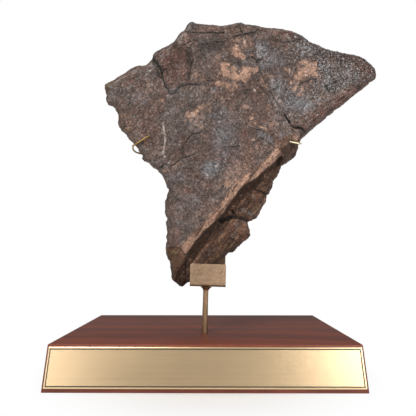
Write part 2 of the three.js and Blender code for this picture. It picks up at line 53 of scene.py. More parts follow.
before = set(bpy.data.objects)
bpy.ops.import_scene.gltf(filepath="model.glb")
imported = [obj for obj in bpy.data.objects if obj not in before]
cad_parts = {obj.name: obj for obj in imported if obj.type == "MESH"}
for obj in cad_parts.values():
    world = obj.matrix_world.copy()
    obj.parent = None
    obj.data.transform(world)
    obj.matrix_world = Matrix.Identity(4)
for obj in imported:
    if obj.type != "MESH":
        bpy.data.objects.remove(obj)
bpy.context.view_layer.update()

MM = 0.001
BODY = "root"


def srgb(red, green, blue):
    """A colour given as on a screen, 0 to 255, in the linear values that shaders use"""
    values = [channel / 255 for channel in (red, green, blue)]
    return tuple(v / 12.92 if v <= 0.04045 else ((v + 0.055) / 1.055) ** 2.4 for v in values)


# Outline of the bone seen from the front, [x, z] in mm, clockwise from the top left corner
OUTLINE = [
    (-26, 400), (-24.5, 403), (-19.8, 407.8), (-15.5, 408.2), (-10.5, 405.5), (-5, 405), (4, 404.8),
    (8.3, 405.3), (14.5, 404), (22, 404.4), (30, 405.4), (37, 408.6), (42, 409.4), (47, 406.4),
    (55, 405.8), (63, 404.2), (70, 402), (80, 401.2), (88, 400.5), (96, 399.4), (104, 397.4),
    (109.5, 395.6), (118.5, 390.8), (125, 384.8), (129.8, 382), (134.5, 381), (140.5, 376.4),
    (150, 373.8), (165, 370.8), (185, 367), (190, 364.8), (196, 360), (200.5, 356.2), (205, 349),
    (205.8, 344), (205.4, 340.5),
    # the long broken edge of the right wing
    (201.8, 336), (197.8, 333.9), (190.4, 327.4), (182, 320.3), (169.8, 311.5), (156.8, 300.8),
    (148.1, 293.4), (136, 283.5), (127.5, 277), (117.2, 267.5), (111.4, 261.2),
    # the lumpy right side below the ledge
    (109, 257.6), (109.5, 253.8), (107, 245.1), (100.5, 239), (94.8, 234.6), (89, 232),
    (87.3, 225.5), (84.6, 219.5), (79.4, 214.6), (78.1, 206.3), (74, 198.6), (71.4, 197.3), (70.2, 189.5),
    (64.6, 179.5), (59.4, 170.3), (51.8, 167.1), (48, 166), (50.8, 156.8), (51, 150.1),
    (47, 145.2), (36.9, 136.2), (31.1, 130.5), (26, 129.9),
    # the end that sits in the cradle
    (23.5, 126.5), (18, 123.2), (11, 120.6), (6.5, 115), (2.5, 106), (-3, 98.8), (-10, 96.2),
    (-19.5, 96.6),
    # the lower tip and the left side
    (-23.7, 93.2), (-27, 90.9), (-30.8, 91.2), (-36.2, 95.3), (-38.9, 99.8), (-39.7, 108.4),
    (-42.3, 120.3), (-45.7, 129.2), (-46.8, 134.8), (-44.7, 143.7), (-45.4, 148.6), (-44.2, 153.5),
    (-46.4, 165.7), (-44.7, 169.8), (-47.4, 178), (-47.6, 188.8), (-43.4, 201.3), (-46.1, 210.3),
    (-50.8, 219.8), (-56.5, 226.2), (-64.6, 232), (-66.5, 235.8), (-72.7, 237.1), (-75, 240.5),
    (-74, 244.4), (-79.2, 249.7), (-79.8, 253), (-84.3, 257.5), (-91.7, 265), (-97, 272.3),
    (-103.8, 278.9), (-105.3, 284), (-104.3, 291.4), (-105.6, 295.5), (-107, 299.3), (-110, 303),
    (-113.5, 305.8), (-117.5, 307.6), (-119.6, 310.3), (-120.5, 313.8), (-119.3, 317),
    (-120.6, 321), (-122.4, 326), (-122.2, 330), (-119.8, 332.6), (-115, 334), (-110, 336.2),
    (-103, 341.2), (-99, 343), (-94.5, 346.6), (-90.5, 350), (-84, 352.6), (-79.8, 354.2),
    (-76, 353.4), (-71.5, 353), (-69, 357), (-66, 361), (-64.2, 365.4), (-63.8, 367.2),
    (-58.5, 371.4), (-50, 375.9), (-43, 379.4), (-39.5, 381.4), (-37, 385), (-35, 388.5),
    (-33.4, 392), (-31.6, 394.4), (-27.3, 396.4), (-26.3, 397.6),
]

# The bone's face, widest ring and back in mm, and how far its rims lie inside the outline
RIM_STEP = 5.4
RIM_SPLITS = 5
FRONT_INSET, WAIST_INSET, BACK_INSET = 2, 1, 5
FACE_Y, WIDEST_Y, BACK_Y = -39, -27, -11
WIDEST_BEHIND_FACE = 4
FRONT_ROUNDING, FRONT_ROUNDING_WIDTH = 2.2, 7
BACK_ROUNDING, BACK_ROUNDING_WIDTH = 4.5, 40
SEAT_TOP, SEAT_LEFT = 119, -19.4
SEAT_FRONT_Y, SEAT_BACK_Y = -27.8, -7.7

# Foot of the ledge, from the right prong down to the lower tip. The recess is to its right.
LEDGE = [
    (133, 258), (110, 258), (99, 258.5), (95, 256), (90, 252), (87, 249), (88, 243), (84, 240),
    (80, 236), (73, 229), (65, 222), (58, 216), (52, 212), (45, 208), (39.6, 204), (34.3, 196),
    (30.4, 191), (25, 183), (21.2, 177), (16.6, 171.7), (11.3, 166.5), (5.4, 161), (-0.5, 155),
    (-6, 149), (-11.5, 143), (-18, 134.5), (-21, 129), (-24.5, 121.5), (-28, 115), (-33.5, 108),
    (-36, 100), (-52, 78),
]
RECESS_CORNERS = [(-52, 60), (135, 60)]
BEVEL_WIDTH, BEVEL_DROP = 7.5, 4
CLIFF_WIDTH, CLIFF_DROP = 2.6, 9.5
GUTTER_RISE = 5

# Left and lower edges of the raised flap at the top left
FLAP = [
    (-73, 380), (-62, 362), (-59, 357), (-56, 353), (-53, 350), (-52, 345), (-50, 342), (-50, 336),
    (-48, 331), (-46, 326), (-43, 321), (-40, 316.5), (-36, 320), (-33, 324), (-29, 327), (-24, 328),
    (-20, 329), (-10, 328.5), (0, 328.5), (14, 331.8), (20, 333),
]
FLAP_CORNERS = [(26, 430), (-75, 430)]
FLAP_HEIGHT, FLAP_STEP = 2.6, 1.4

# Upper edge of the rough broken end at the lower tip
TIP_BREAK = [(-59, 134), (-45, 135), (-36, 137), (-32, 138), (-28, 136), (-25, 131), (-23, 129)]
TIP_CORNERS = [(-20, 60), (-60, 60)]
TIP_DROP, TIP_SLOPE = 2.4, 0.09

# Cracks: how deep and how far to each side in mm, then the line
CRACKS = [
    (1.8, 1.3, [(-24, 392.6), (-18, 391.2), (-6, 391), (5, 392.2), (13, 392), (20, 392.6), (23, 393.2)]),
    (1.9, 1.4, [(25.5, 384.3), (32, 387), (40, 389.8), (45, 391.2), (53, 392.5), (58.5, 393.6), (64, 398)]),
    (1.4, 1.1, [(40, 405), (41.5, 399), (43, 394.5), (45, 391.5)]),
    (1.3, 1.2, [(-30, 373.5), (-26, 376), (-21, 379), (-14, 381.5), (-8, 382.2)]),
    (1.1, 1.0, [(1, 378.2), (8, 378.4), (13, 379), (18, 380.6), (26, 382.4)]),
    (0.9, 0.9, [(-6, 371.5), (-4, 374.5), (-2, 379)]),
    (2.1, 1.3, [(54.5, 362.2), (58, 360.3), (60, 357.6), (61, 354.6)]),
    (1.4, 1.1, [(61.5, 356.5), (65.5, 358.4), (70, 359.3)]),
    (1.2, 1.1, [(62.5, 354), (65.5, 356)]),
    (0.9, 0.8, [(68, 332.5), (71, 326.5), (75, 320.8)]),
    (1.1, 0.9, [(75, 320.8), (78.5, 313), (83, 304.5), (88, 297.5), (92, 291)]),
    (1.0, 0.9, [(75, 320.8), (80, 321.5), (84, 322.5)]),
    (2.4, 1.5, [(92.3, 290), (95, 284.5), (98, 281)]),
    (2.6, 1.5, [(99.5, 278), (104, 274.2), (108, 275.2), (112, 273.3), (117, 269)]),
    (1.9, 1.4, [(-61, 228.6), (-57, 227.4), (-53, 227.2), (-50, 228.8)]),
    (1.0, 1.0, [(-50, 228.8), (-45, 231.2), (-40, 229.6)]),
    (1.5, 1.3, [(-40, 229.6), (-36, 231.6), (-33, 235), (-29, 237.4), (-24, 239.8), (-19, 240.6)]),
    (0.8, 1.0, [(-19, 240.6), (-12, 243), (-6, 247.2), (0, 249)]),
    (1.3, 0.9, [(29, 251.8), (34, 252.3), (39.5, 253.2)]),
    (1.0, 0.9, [(40, 233), (44.5, 233.1)]),
    (1.5, 1.3, [(-22.5, 257.5), (-19.5, 263), (-15.5, 267), (-11, 268.3), (-7.5, 268.6), (-4, 271.3)]),
    (1.3, 1.1, [(92, 380.2), (100, 381), (106, 382.2), (112, 385), (118, 385.4)]),
    (1.2, 1.1, [(111, 327.5), (117, 330.6), (124, 333.4), (131, 334.6)]),
    (1.1, 1.1, [(139.5, 324), (146, 327.3), (151, 330.4), (155, 333)]),
    (0.9, 1.0, [(45, 315.8), (52, 316.2), (60, 316.5), (70, 317.8)]),
    (1.1, 0.9, [(1.5, 331.4), (7, 331.7), (14.5, 331.8)]),
    (1.0, 0.9, [(-18.5, 227.3), (-15.5, 224.6), (-12.5, 222)]),
    (0.9, 0.8, [(-5, 224.5), (-2, 227.3), (1, 229)]),
    (1.0, 1.0, [(14, 201.5), (16.5, 200.3), (19, 202), (20.5, 204.5), (21, 207)]),
    (0.9, 1.0, [(-39, 167), (-35, 165.5), (-31.5, 160.5), (-28, 156.5), (-24, 155), (-19, 156.6)]),
    (0.8, 0.9, [(-36, 163.4), (-32, 158.6), (-27, 154)]),
    (1.0, 1.0, [(49.5, 276), (54, 274.2), (58.5, 272.2), (64.5, 271.2)]),
    (0.9, 0.9, [(77, 252.6), (80.5, 249.8), (84, 250.5)]),
    (1.4, 1.2, [(-53, 345.5), (-49.5, 343.8), (-44.5, 346.6)]),
    (0.8, 0.9, [(-57.5, 339.6), (-52, 336.8), (-48, 333.5)]),
    (1.1, 1.0, [(-14.5, 357.5), (-17, 351.5), (-18.5, 343), (-19, 331)]),
    (1.2, 0.9, [(190, 338.5), (192.5, 332)]),
    (3.0, 3.0, [(48, 166.6), (40, 169.6), (33, 171.6), (26, 170.4), (18, 167)]),
    (2.6, 1.5, [(36.8, 171), (34, 174), (31, 178.5)]),
    (1.8, 1.4, [(57, 203.4), (62, 201.6), (66, 199.6), (70, 197)]),
    (1.0, 1.0, [(27, 146), (32, 145), (36, 141.5), (39, 138)]),
]

# Small holes, [x, z, radius, depth]
PITS = [
    (-54.3, 287, 2.0, 1.3), (-20.5, 280, 1.5, 1.3), (92.4, 290.2, 1.8, 1.8), (98, 281.2, 2.4, 1.6),
    (7.3, 393.8, 1.5, 1.8), (21.2, 392.8, 1.2, 1.2), (-33, 332, 1.4, 1.4), (-44.3, 342.3, 1.3, 0.9),
    (-26, 377.5, 1.6, 1.2), (17, 375, 1.6, 1.0), (12.5, 368, 1.3, 0.8), (22.5, 374.5, 1.1, 0.8),
    (3.3, 215, 1.1, 1.0), (8, 223, 1.4, 1.2), (-95, 277, 2.2, 1.3), (-38, 192.8, 1.8, 1.0),
    (15, 202.5, 1.2, 0.9), (20, 205, 1.1, 0.8), (55.3, 256.5, 1.6, 1.0), (-52, 232, 1.6, 0.7),
    (61, 355, 1.6, 1.5), (-64.5, 346.3, 1.0, 0.8), (62.5, 376, 1.4, 0.7), (65, 379.5, 1.0, 0.6),
    (67, 370, 1.0, 0.6), (-7, 291.3, 1.4, 0.9), (-2, 292.6, 1.2, 0.8), (79.5, 321, 1.3, 1.0),
    (138.6, 315, 1.6, 0.8), (70, 197.4, 1.6, 1.2),
]

# Rounded lumps and hollows of the face, [x, z, radius, height]
LUMPS = [
    (47, 203, 10, 2.4), (61, 194, 11, 3.2), (72, 206, 9, 2.6), (57, 177, 9, 3.4), (41, 182, 10, 2.2),
    (79, 223, 8, 2.2), (96, 242, 9, 1.6), (44, 155, 10, 2.6), (28, 146, 15, 2.6), (6, 130, 13, 2.2),
    (-28, 343, 11, -1.6), (-26, 360, 11, -1.8), (-24, 374, 9, -1.4), (-15, 347, 11, 1.2),
    (-83, 330, 26, 1.4), (-76, 286, 26, -1.6), (15, 247, 42, -1.8), (59, 286, 34, 1.4),
    (137, 341, 34, 1.5), (162, 321, 22, -1.6), (-10, 193, 30, 1.2), (88, 365, 24, 1.3),
    (-19, 120, 5, 4), (-23, 111, 5.5, 6), (-28, 103, 5.5, 4.5),
]

# The back: a layer that has flaked off below a line, broad swells and hollows, and two cracks
BACK_FLAKE = [
    (-140, 312), (-96, 318), (-58, 334), (-20, 326), (16, 338), (52, 330), (88, 344), (128, 336),
    (160, 348), (215, 352),
]
BACK_FLAKE_CORNERS = [(215, 430), (-140, 430)]
BACK_FLAKE_HEIGHT = 2
BACK_LUMPS = [
    (-70, 296, 24, 1.6), (-20, 276, 26, -1.8), (42, 292, 30, 1.8), (96, 316, 24, -1.6),
    (150, 344, 22, 1.4), (20, 220, 26, -1.6), (-18, 180, 22, 1.6), (14, 150, 18, -1.2),
    (-4, 372, 26, 1.6), (70, 376, 26, -1.4),
]
BACK_CRACKS = (
    [(-95, 318), (-40, 268), (-4, 246), (40, 196), (52, 172)], [(180, 352), (96, 332), (40, 296), (-4, 246)],
)

# Pebbled spots beside the right wing, laid out like the patches below
PEBBLED_PATCHES = [
    (8, 225, 15, 12, 0.9, 20), (66, 368, 12, 12, 0.8), (98, 314, 26, 18, 0.6), (100, 370, 26, 13, 0.6),
    (78, 346, 12, 12, 0.5), (16, 262, 7, 20, 0.5), (125, 372, 22, 10, 0.9, -20),
]

# Patches of colour on the face: [x, z, half width, half height, strength], then the tilt in degrees
# of those that are turned
TAN_PATCHES = [
    (36, 224, 34, 13, 0.34, 42), (-4, 178, 24, 9, 0.25, 42), (62, 250, 16, 12, 0.28),
    (30, 340, 22, 14, 0.25), (116, 340, 20, 14, 0.3, 10), (-8, 292, 16, 9, 0.3, 30),
    (56, 282, 18, 12, 0.25, -30), (23.5, 351.5, 5, 3.6, 0.85, 5), (21, 346.5, 4, 3, 0.7),
    (24, 340, 6, 5.5, 0.75), (33.5, 343, 3.6, 6.5, 0.9, 10), (38, 336.5, 10, 4.5, 1), (47, 341, 7, 8, 0.95),
    (50, 346.5, 5, 3.5, 0.85), (58, 345.5, 5, 4, 0.85), (45.5, 331.5, 4, 4.5, 0.95, 20),
    (15, 328, 5, 3.5, 0.6), (24, 327, 7, 4.5, 0.55), (34, 326.5, 6, 4, 0.5), (30, 321, 4, 3.5, 0.45),
    (16, 339, 4, 6, 0.35), (8, 327, 7, 2.6, 0.3), (14, 358, 5, 8, 0.3), (13, 366, 3, 4, 0.3),
    (36, 372, 5, 8, 0.6), (39, 364.5, 7, 4, 0.8, -10), (44.5, 361, 2.5, 3.5, 0.85, 20),
    (46.5, 378.5, 2, 4.5, 0.85, 10), (32, 366, 3, 5, 0.5), (39, 383, 6, 4, 0.4), (53, 385, 2.5, 5, 0.35),
    (49.5, 387, 1.2, 4, 0.55, 25), (53.5, 378, 1.5, 5, 0.4), (63, 388, 4, 3, 0.4),
    (55.5, 362.5, 3, 1.6, 0.7, -30), (64, 355.6, 3, 1.4, 0.5, 35), (118, 341.5, 12, 6.5, 1, 10),
    (124, 346, 8, 6, 1), (110, 337, 6, 4, 1, 5), (128, 340, 5, 4.5, 1), (116, 354.5, 5.5, 3, 0.75, 10),
    (129.5, 352, 2.4, 5.5, 0.8, -15), (122, 352, 8, 3, 0.7), (95, 345, 4, 3, 0.5), (100, 343, 4, 2, 0.45),
    (100, 329, 2, 4.5, 0.6, -15), (96, 323.5, 3, 3, 0.35), (104.5, 322, 4, 4, 0.7),
    (113.5, 322, 2.6, 5, 0.65), (109.5, 315.5, 3, 3.5, 0.55), (116, 332.5, 4, 1.4, 0.5, 15),
    (101.5, 338, 2, 2, 0.5), (-15, 290, 4.2, 3.4, 1, 30), (-20, 288, 4, 3, 0.75),
    (-11, 294, 5, 2.4, 0.85, 35), (-22, 292.5, 3, 1.6, 0.6, 40), (-5, 299, 6, 2.4, 0.55, 30),
    (3, 303, 4.5, 2.6, 0.4, 60), (-16, 284.5, 4, 2.4, 0.5), (-8, 286, 4, 3, 0.4, 50),
    (4, 296.5, 5, 3.5, 0.35), (-6, 276, 3, 5, 0.35, 35), (-25, 284, 3, 3, 0.3), (46, 299, 6, 4, 0.35),
    (53, 287, 4.5, 5, 0.5), (45, 291, 4, 4, 0.35), (60, 288, 5, 4, 0.3), (57, 279.5, 4.5, 2, 0.55, -35),
    (66, 274.5, 6, 1.8, 0.75, -15), (70, 272, 3, 2, 0.6, -30), (78, 279, 8, 5, 0.3),
    (55, 260.3, 4, 1.6, 0.5, 20), (25, 208.5, 5, 4.5, 0.7, 30), (28.5, 197.5, 2.6, 4, 0.75, 10),
    (15.5, 206.5, 2.5, 3, 0.45), (19, 209.5, 4, 2, 0.4), (36, 213, 5, 3, 0.45, 35),
    (3.3, 215.2, 2.2, 2, 0.35), (-24.3, 201, 1.4, 1.4, 0.8), (-33, 152, 2, 2.6, 0.45),
    (-34, 184, 1.2, 4.5, 0.45, -35), (-29, 195, 2, 3, 0.4), (-20, 206, 6, 1.4, 0.25),
    (6, 172.5, 2, 3, 0.4, 30), (4, 165, 3, 4, 0.4), (-21, 139, 5, 8, 0.85, -25), (-24, 132.5, 2.5, 4, 0.7),
    (-16, 146, 6, 4, 0.8, 35), (-31, 139, 4, 4, 0.3), (-40, 330, 6, 7, 0.22, 20), (-34, 327, 5, 4, 0.25, 40),
    (-10, 338, 7, 6, 0.28), (-3, 334, 6, 4, 0.28), (94, 256, 5, 3, 0.3), (105, 263, 5, 4, 0.35),
    (104, 260, 4, 2, 0.4), (86, 246, 4, 4, 0.35), (80, 246, 4, 5, 0.25), (63, 321, 4, 2.4, 0.35),
    (-88, 283, 3, 2.4, 0.35), (-92, 275, 4, 2, 0.45, -25), (-87, 263, 1.6, 6, 0.45, 42),
    (-46, 224.5, 7, 1.6, 0.35, 15), (-57, 225.5, 4, 1.4, 0.35), (-52, 307, 5, 3, 0.25),
]
RUST_PATCHES = [
    (98, 393, 9, 5, 0.7), (-92, 272, 14, 6, 0.5, -40), (172, 360, 26, 10, 0.55, -10),
    (188, 350, 16, 12, 0.5), (-70, 262, 18, 16, 0.3), (-30, 170, 14, 30, 0.25), (62, 288, 26, 22, 0.42, -20),
    (-72, 284, 22, 34, 0.32, 20), (46, 236, 24, 22, 0.45, 35), (86, 262, 22, 14, 0.4),
    (-96, 330, 22, 14, 0.3, 25), (-12, 300, 26, 10, 0.3, 30), (40, 330, 34, 22, 0.25),
    (118, 345, 22, 16, 0.3), (-43, 347, 13, 27, 0.8, 12), (-50, 361, 11, 7, 0.6, 33),
    (-42, 355, 10, 12, 0.75), (-34, 362, 7, 16, 0.7), (-26, 343, 5, 14, 0.85), (-22, 335, 3, 8, 0.6),
    (-26, 362, 4, 14, 0.75), (-57, 328, 6, 8, 0.55), (-92, 333, 14, 8, 0.4, 15), (-52, 307, 6, 3, 0.45),
    (-60, 296, 10, 10, 0.3), (-56, 268, 8, 12, 0.3), (-45, 262, 6, 18, 0.25), (176, 318, 13, 5.5, 0.9, 38),
    (160, 306, 14, 6, 0.95, 39), (142, 291, 15, 6, 0.9, 40), (127, 279, 12, 6, 0.8, 42),
    (117, 270, 6, 6, 0.6, 45), (167, 318, 9, 4, 0.6, 30), (152, 321, 9, 3, 0.5, 25),
    (172, 322, 8, 4, 0.6, 30), (193, 345, 9, 9, 0.35), (8, 377, 8, 2.6, 0.5), (82, 383, 14, 3, 0.5),
    (82, 392, 12, 3, 0.4), (104, 388, 4, 3.5, 0.6), (71, 388, 6, 4, 0.4), (46, 268, 8, 7, 0.6),
    (55, 268, 6, 6, 0.4), (62, 321, 4, 3, 0.5), (-20, 200, 9, 4.5, 0.7, -15), (-28, 204, 4, 2, 0.5),
    (-18, 192, 6, 5, 0.4), (-9, 202, 6, 1.8, 0.4), (-34, 150, 8, 12, 0.35), (-24, 258, 4, 8, 0.55),
    (-26, 245, 3, 9, 0.35), (4, 295, 4, 4, 0.5), (-20, 262, 4, 6, 0.4, -30), (38, 222, 12, 8, 0.35),
    (24, 222, 10, 6, 0.3), (-14, 237, 10, 5, 0.4), (-8, 232, 6, 5, 0.35), (-65, 241, 3, 5, 0.4),
    (14, 348, 6, 6, 0.35), (8, 343, 8, 6, 0.3), (30, 298, 5, 10, 0.25, 20), (28, 284, 5, 8, 0.25),
    (52, 186, 8, 5, 0.5), (46, 190, 8, 4, 0.4), (60, 209, 8, 4, 0.4, 20), (40, 204, 4, 4, 0.5),
    (30, 160, 5, 5, 0.6), (8, 137, 2.4, 9, 0.6), (-4, 134, 4, 8, 0.6, -40), (80, 270, 10, 6, 0.3),
    (120, 290, 12, 6, 0.35, 35), (98, 249, 8, 5, 0.5),
]
# Blue-grey patches: the bone's skin, partly painted sheen
SLATE_PATCHES = [
    (-79, 313, 15, 10, 0.42), (-33, 318, 14, 10, 0.35), (85, 356, 14, 12, 0.45), (-36, 262, 10, 22, 0.25),
    (28, 226, 26, 20, 0.35, 30), (110, 300, 24, 14, 0.4), (88, 285, 18, 16, 0.35), (34, 250, 14, 26, 0.3),
    (20, 268, 17, 40, 0.5, -4), (96, 308, 26, 22, 0.45), (-14, 184, 26, 38, 0.28, -8), (5, 226, 10, 10, 0.8),
    (-92, 318, 18, 16, 0.25), (-2, 352, 20, 30, 0.3), (28, 258, 16, 16, 0.35), (84, 326, 12, 14, 0.6),
    (68, 370, 8, 9, 1), (105, 303, 20, 9, 0.75, -8), (78, 362, 8, 8, 0.5), (122, 372, 14, 7, 0.6, -25),
    (67, 368, 7.5, 10, 1), (62, 374, 3, 8, 0.6), (72, 378, 5, 5, 0.5), (68, 352, 6, 6, 0.6),
    (76, 354, 7, 8, 0.55), (64, 346, 3, 6, 0.4), (116, 302, 13, 8, 0.75, -5), (104, 307, 8, 8, 0.55),
    (110, 298, 9, 5, 0.5), (133, 309, 3.4, 3.4, 0.7), (124, 314, 6, 5, 0.4), (87, 340, 9, 9, 0.4),
    (1, 224, 5, 8, 0.85), (11.5, 227, 3.5, 7, 0.95, -15), (3, 216, 4, 3, 0.6), (16, 262, 5.5, 14, 0.6, -3),
    (21, 243, 4, 9, 0.75, 10), (13, 250, 5, 8, 0.4), (66, 266, 8, 4.5, 0.7, -30), (75, 259, 6, 4, 0.6, -30),
    (90, 266, 8, 5, 0.45), (8, 288, 9, 6, 0.5), (16, 296, 3, 6, 0.3), (-72, 307, 10, 6, 0.4),
    (-60, 318, 10, 10, 0.3), (10, 321, 5.5, 5, 0.6), (20, 319, 4, 5, 0.3), (-17, 312, 4, 6, 0.35),
    (-40, 216, 12, 7, 0.4), (-30, 217, 10, 6, 0.4), (-11, 188, 10, 14, 0.4), (-28, 178, 10, 12, 0.4),
    (-30, 166, 6, 6, 0.5), (-5, 196, 5, 8, 0.4), (8, 190, 5, 6, 0.45, -35), (-5, 172, 9, 8, 0.3),
    (36, 350, 4.5, 6, 0.55), (48, 356, 6, 5, 0.45), (50, 366, 3.5, 7, 0.4), (22, 364, 4, 7, 0.35),
    (4, 354, 6, 7, 0.35), (51, 175, 4, 3.5, 0.6), (55, 194, 4, 3.5, 0.35), (44, 178, 5, 4, 0.4),
    (33, 150, 3.6, 3, 0.4), (36, 162, 3, 4, 0.5), (5, 131, 3, 4, 0.4), (-48, 290, 3, 8, 0.3),
    (-43, 233, 3, 3.5, 0.5), (-38, 296, 4, 4, 0.4), (-62, 235, 2, 2, 0.6), (76, 244, 6, 4, 0.35),
    (126, 364, 4, 2.6, 0.9), (111, 375, 3.5, 5, 0.7, -30), (117, 374, 2, 6, 0.75), (115, 366, 3, 4, 0.8, 20),
    (134, 359, 3.5, 5, 0.6, 15), (136, 349, 4, 6, 0.7), (142, 346, 5, 5, 0.4), (181, 334, 4, 4, 0.55),
    (163, 330, 3.6, 3, 0.7), (158, 338, 3.5, 3, 0.5), (150, 331, 3, 2.5, 0.5),
    (158, 323, 3.5, 1.8, 0.9, -15), (104, 368, 8, 6, 0.3), (-77, 342, 6, 4, 0.35), (-66, 344, 4, 3, 0.4),
    (-110, 318, 6, 5, 0.4), (-62, 352, 5, 8, 0.3),
]
# Dark bone, and painted shadow beside the raised flap and along the foot of the ledge
DARK_AND_SHADOW_PATCHES = [
    (-90, 320, 26, 26, 0.25), (-52, 290, 18, 30, 0.2), (12, 380, 30, 9, 0.25), (8, 374, 26, 13, 0.6),
    (-44, 350, 14, 24, 0.4, 12), (-70, 270, 26, 26, 0.22), (80, 386, 28, 8, 0.3, -5), (-20, 360, 7, 20, 0.8),
    (-20, 340, 5, 10, 0.7), (-31, 366, 5, 16, 0.5), (-53, 344, 7, 8, 0.7), (-4, 362, 12, 12, 0.5),
    (-60, 356, 5, 8, 0.8, 30), (72, 333, 5, 6, 0.5, -50), (-56, 350, 5, 9, 0.7, 15), (-36, 376, 4.5, 7, 0.6),
    (-25, 358, 4, 12, 0.5), (-27, 377, 3, 3, 0.7), (-24, 338, 4, 12, 0.45), (-10, 366, 16, 6, 0.45),
    (-12, 352, 6, 5, 0.3), (37, 354, 6, 4.5, 0.7), (42, 346.5, 2.4, 3, 0.75), (30, 351, 2.4, 3, 0.6),
    (38.5, 338, 1.8, 2, 0.5), (-26.5, 246, 2.6, 8.5, 0.75), (-38, 277, 4, 4, 0.35), (6, 287, 8, 5, 0.35),
    (27, 306, 5, 2.4, 0.6), (-10, 261, 8, 7, 0.35), (47, 320, 5, 2.6, 0.5), (36, 322, 5, 2.6, 0.3),
    (52, 272, 4, 2.6, 0.6, -30), (85, 382, 20, 3, 0.55, -3), (64, 358, 4, 1.4, 0.8, 5), (93, 375, 8, 6, 0.3),
    (106, 363, 10, 4, 0.4), (108, 353, 4, 4, 0.4), (182, 324.5, 6.5, 4, 0.85, 38), (186, 330, 5, 4, 0.4),
    (96, 283, 4, 3, 0.6, -40), (108, 275, 8, 2.4, 0.7, -10), (113, 267, 6, 5, 0.6, 40),
    (96, 247, 10, 7, 0.95), (103, 253, 6, 4, 0.7), (84, 234, 8, 5, 0.9, 20), (76, 225, 7, 5, 0.85),
    (66, 217, 8, 4, 0.8, 38), (48, 196, 6, 6, 0.75), (36, 190, 4, 8, 0.6), (62, 187, 7, 3, 0.7, 25),
    (26, 178, 6, 5, 0.75), (34, 171, 14, 3, 0.8), (14, 157, 8, 8, 0.8), (6, 150, 6, 5, 0.75, 45),
    (-5, 140, 3.5, 11, 0.85, -38), (-15, 128, 4, 9, 0.9, -40), (-20, 122, 4, 6, 0.8, -40),
    (-26, 114, 4, 6, 0.6, -35), (20, 120, 7, 3.5, 0.7), (3, 131, 3, 4, 0.6), (-3, 124, 5, 3, 0.5),
    (22, 150, 5, 4, 0.3), (70, 200, 3, 3, 0.6), (-36, 127, 7, 3, 0.5), (-30, 120, 5, 4, 0.4),
    (-42, 121, 3, 6, 0.3), (-95, 277, 3, 2, 0.6, -20),
]
OLIVE_PATCHES = [
    (-116, 330, 9, 5, 1, 15), (-120, 320, 4, 12, 0.9), (-76, 243, 8, 5, 0.6, -40), (-26, 96, 12, 6, 0.7),
    (-119, 325, 3.6, 7, 0.9), (-111, 330, 7, 3, 0.8, 15), (-114, 321, 4, 4, 0.6), (-106, 325, 3, 3, 0.4),
    (-97, 276, 5, 3.5, 0.8, -25), (-90, 272, 4, 3, 0.6, -40), (-36, 376, 4, 6, 0.7), (-35, 130, 8, 5, 0.85),
    (-42, 133, 4, 3, 0.7), (-24, 128, 3, 2.4, 0.8), (29, 138, 7, 4.5, 0.75), (18, 128, 3.4, 3.4, 0.95),
    (22, 136, 4, 3, 0.5), (10, 125, 5, 3, 0.6), (-6, 126, 4, 4, 0.5, 20), (58, 182, 5, 3.5, 0.7, 20),
    (56, 172, 4, 4, 0.7), (66, 195, 3, 5, 0.5), (-66, 240, 3, 4, 0.4), (-99, 285, 2.5, 8, 0.6),
    (46, 391, 2, 1.4, 0.6), (61, 342, 4, 3, 0.4), (-30, 387, 5, 5, 0.35), (-34, 98, 6, 5, 0.6),
]
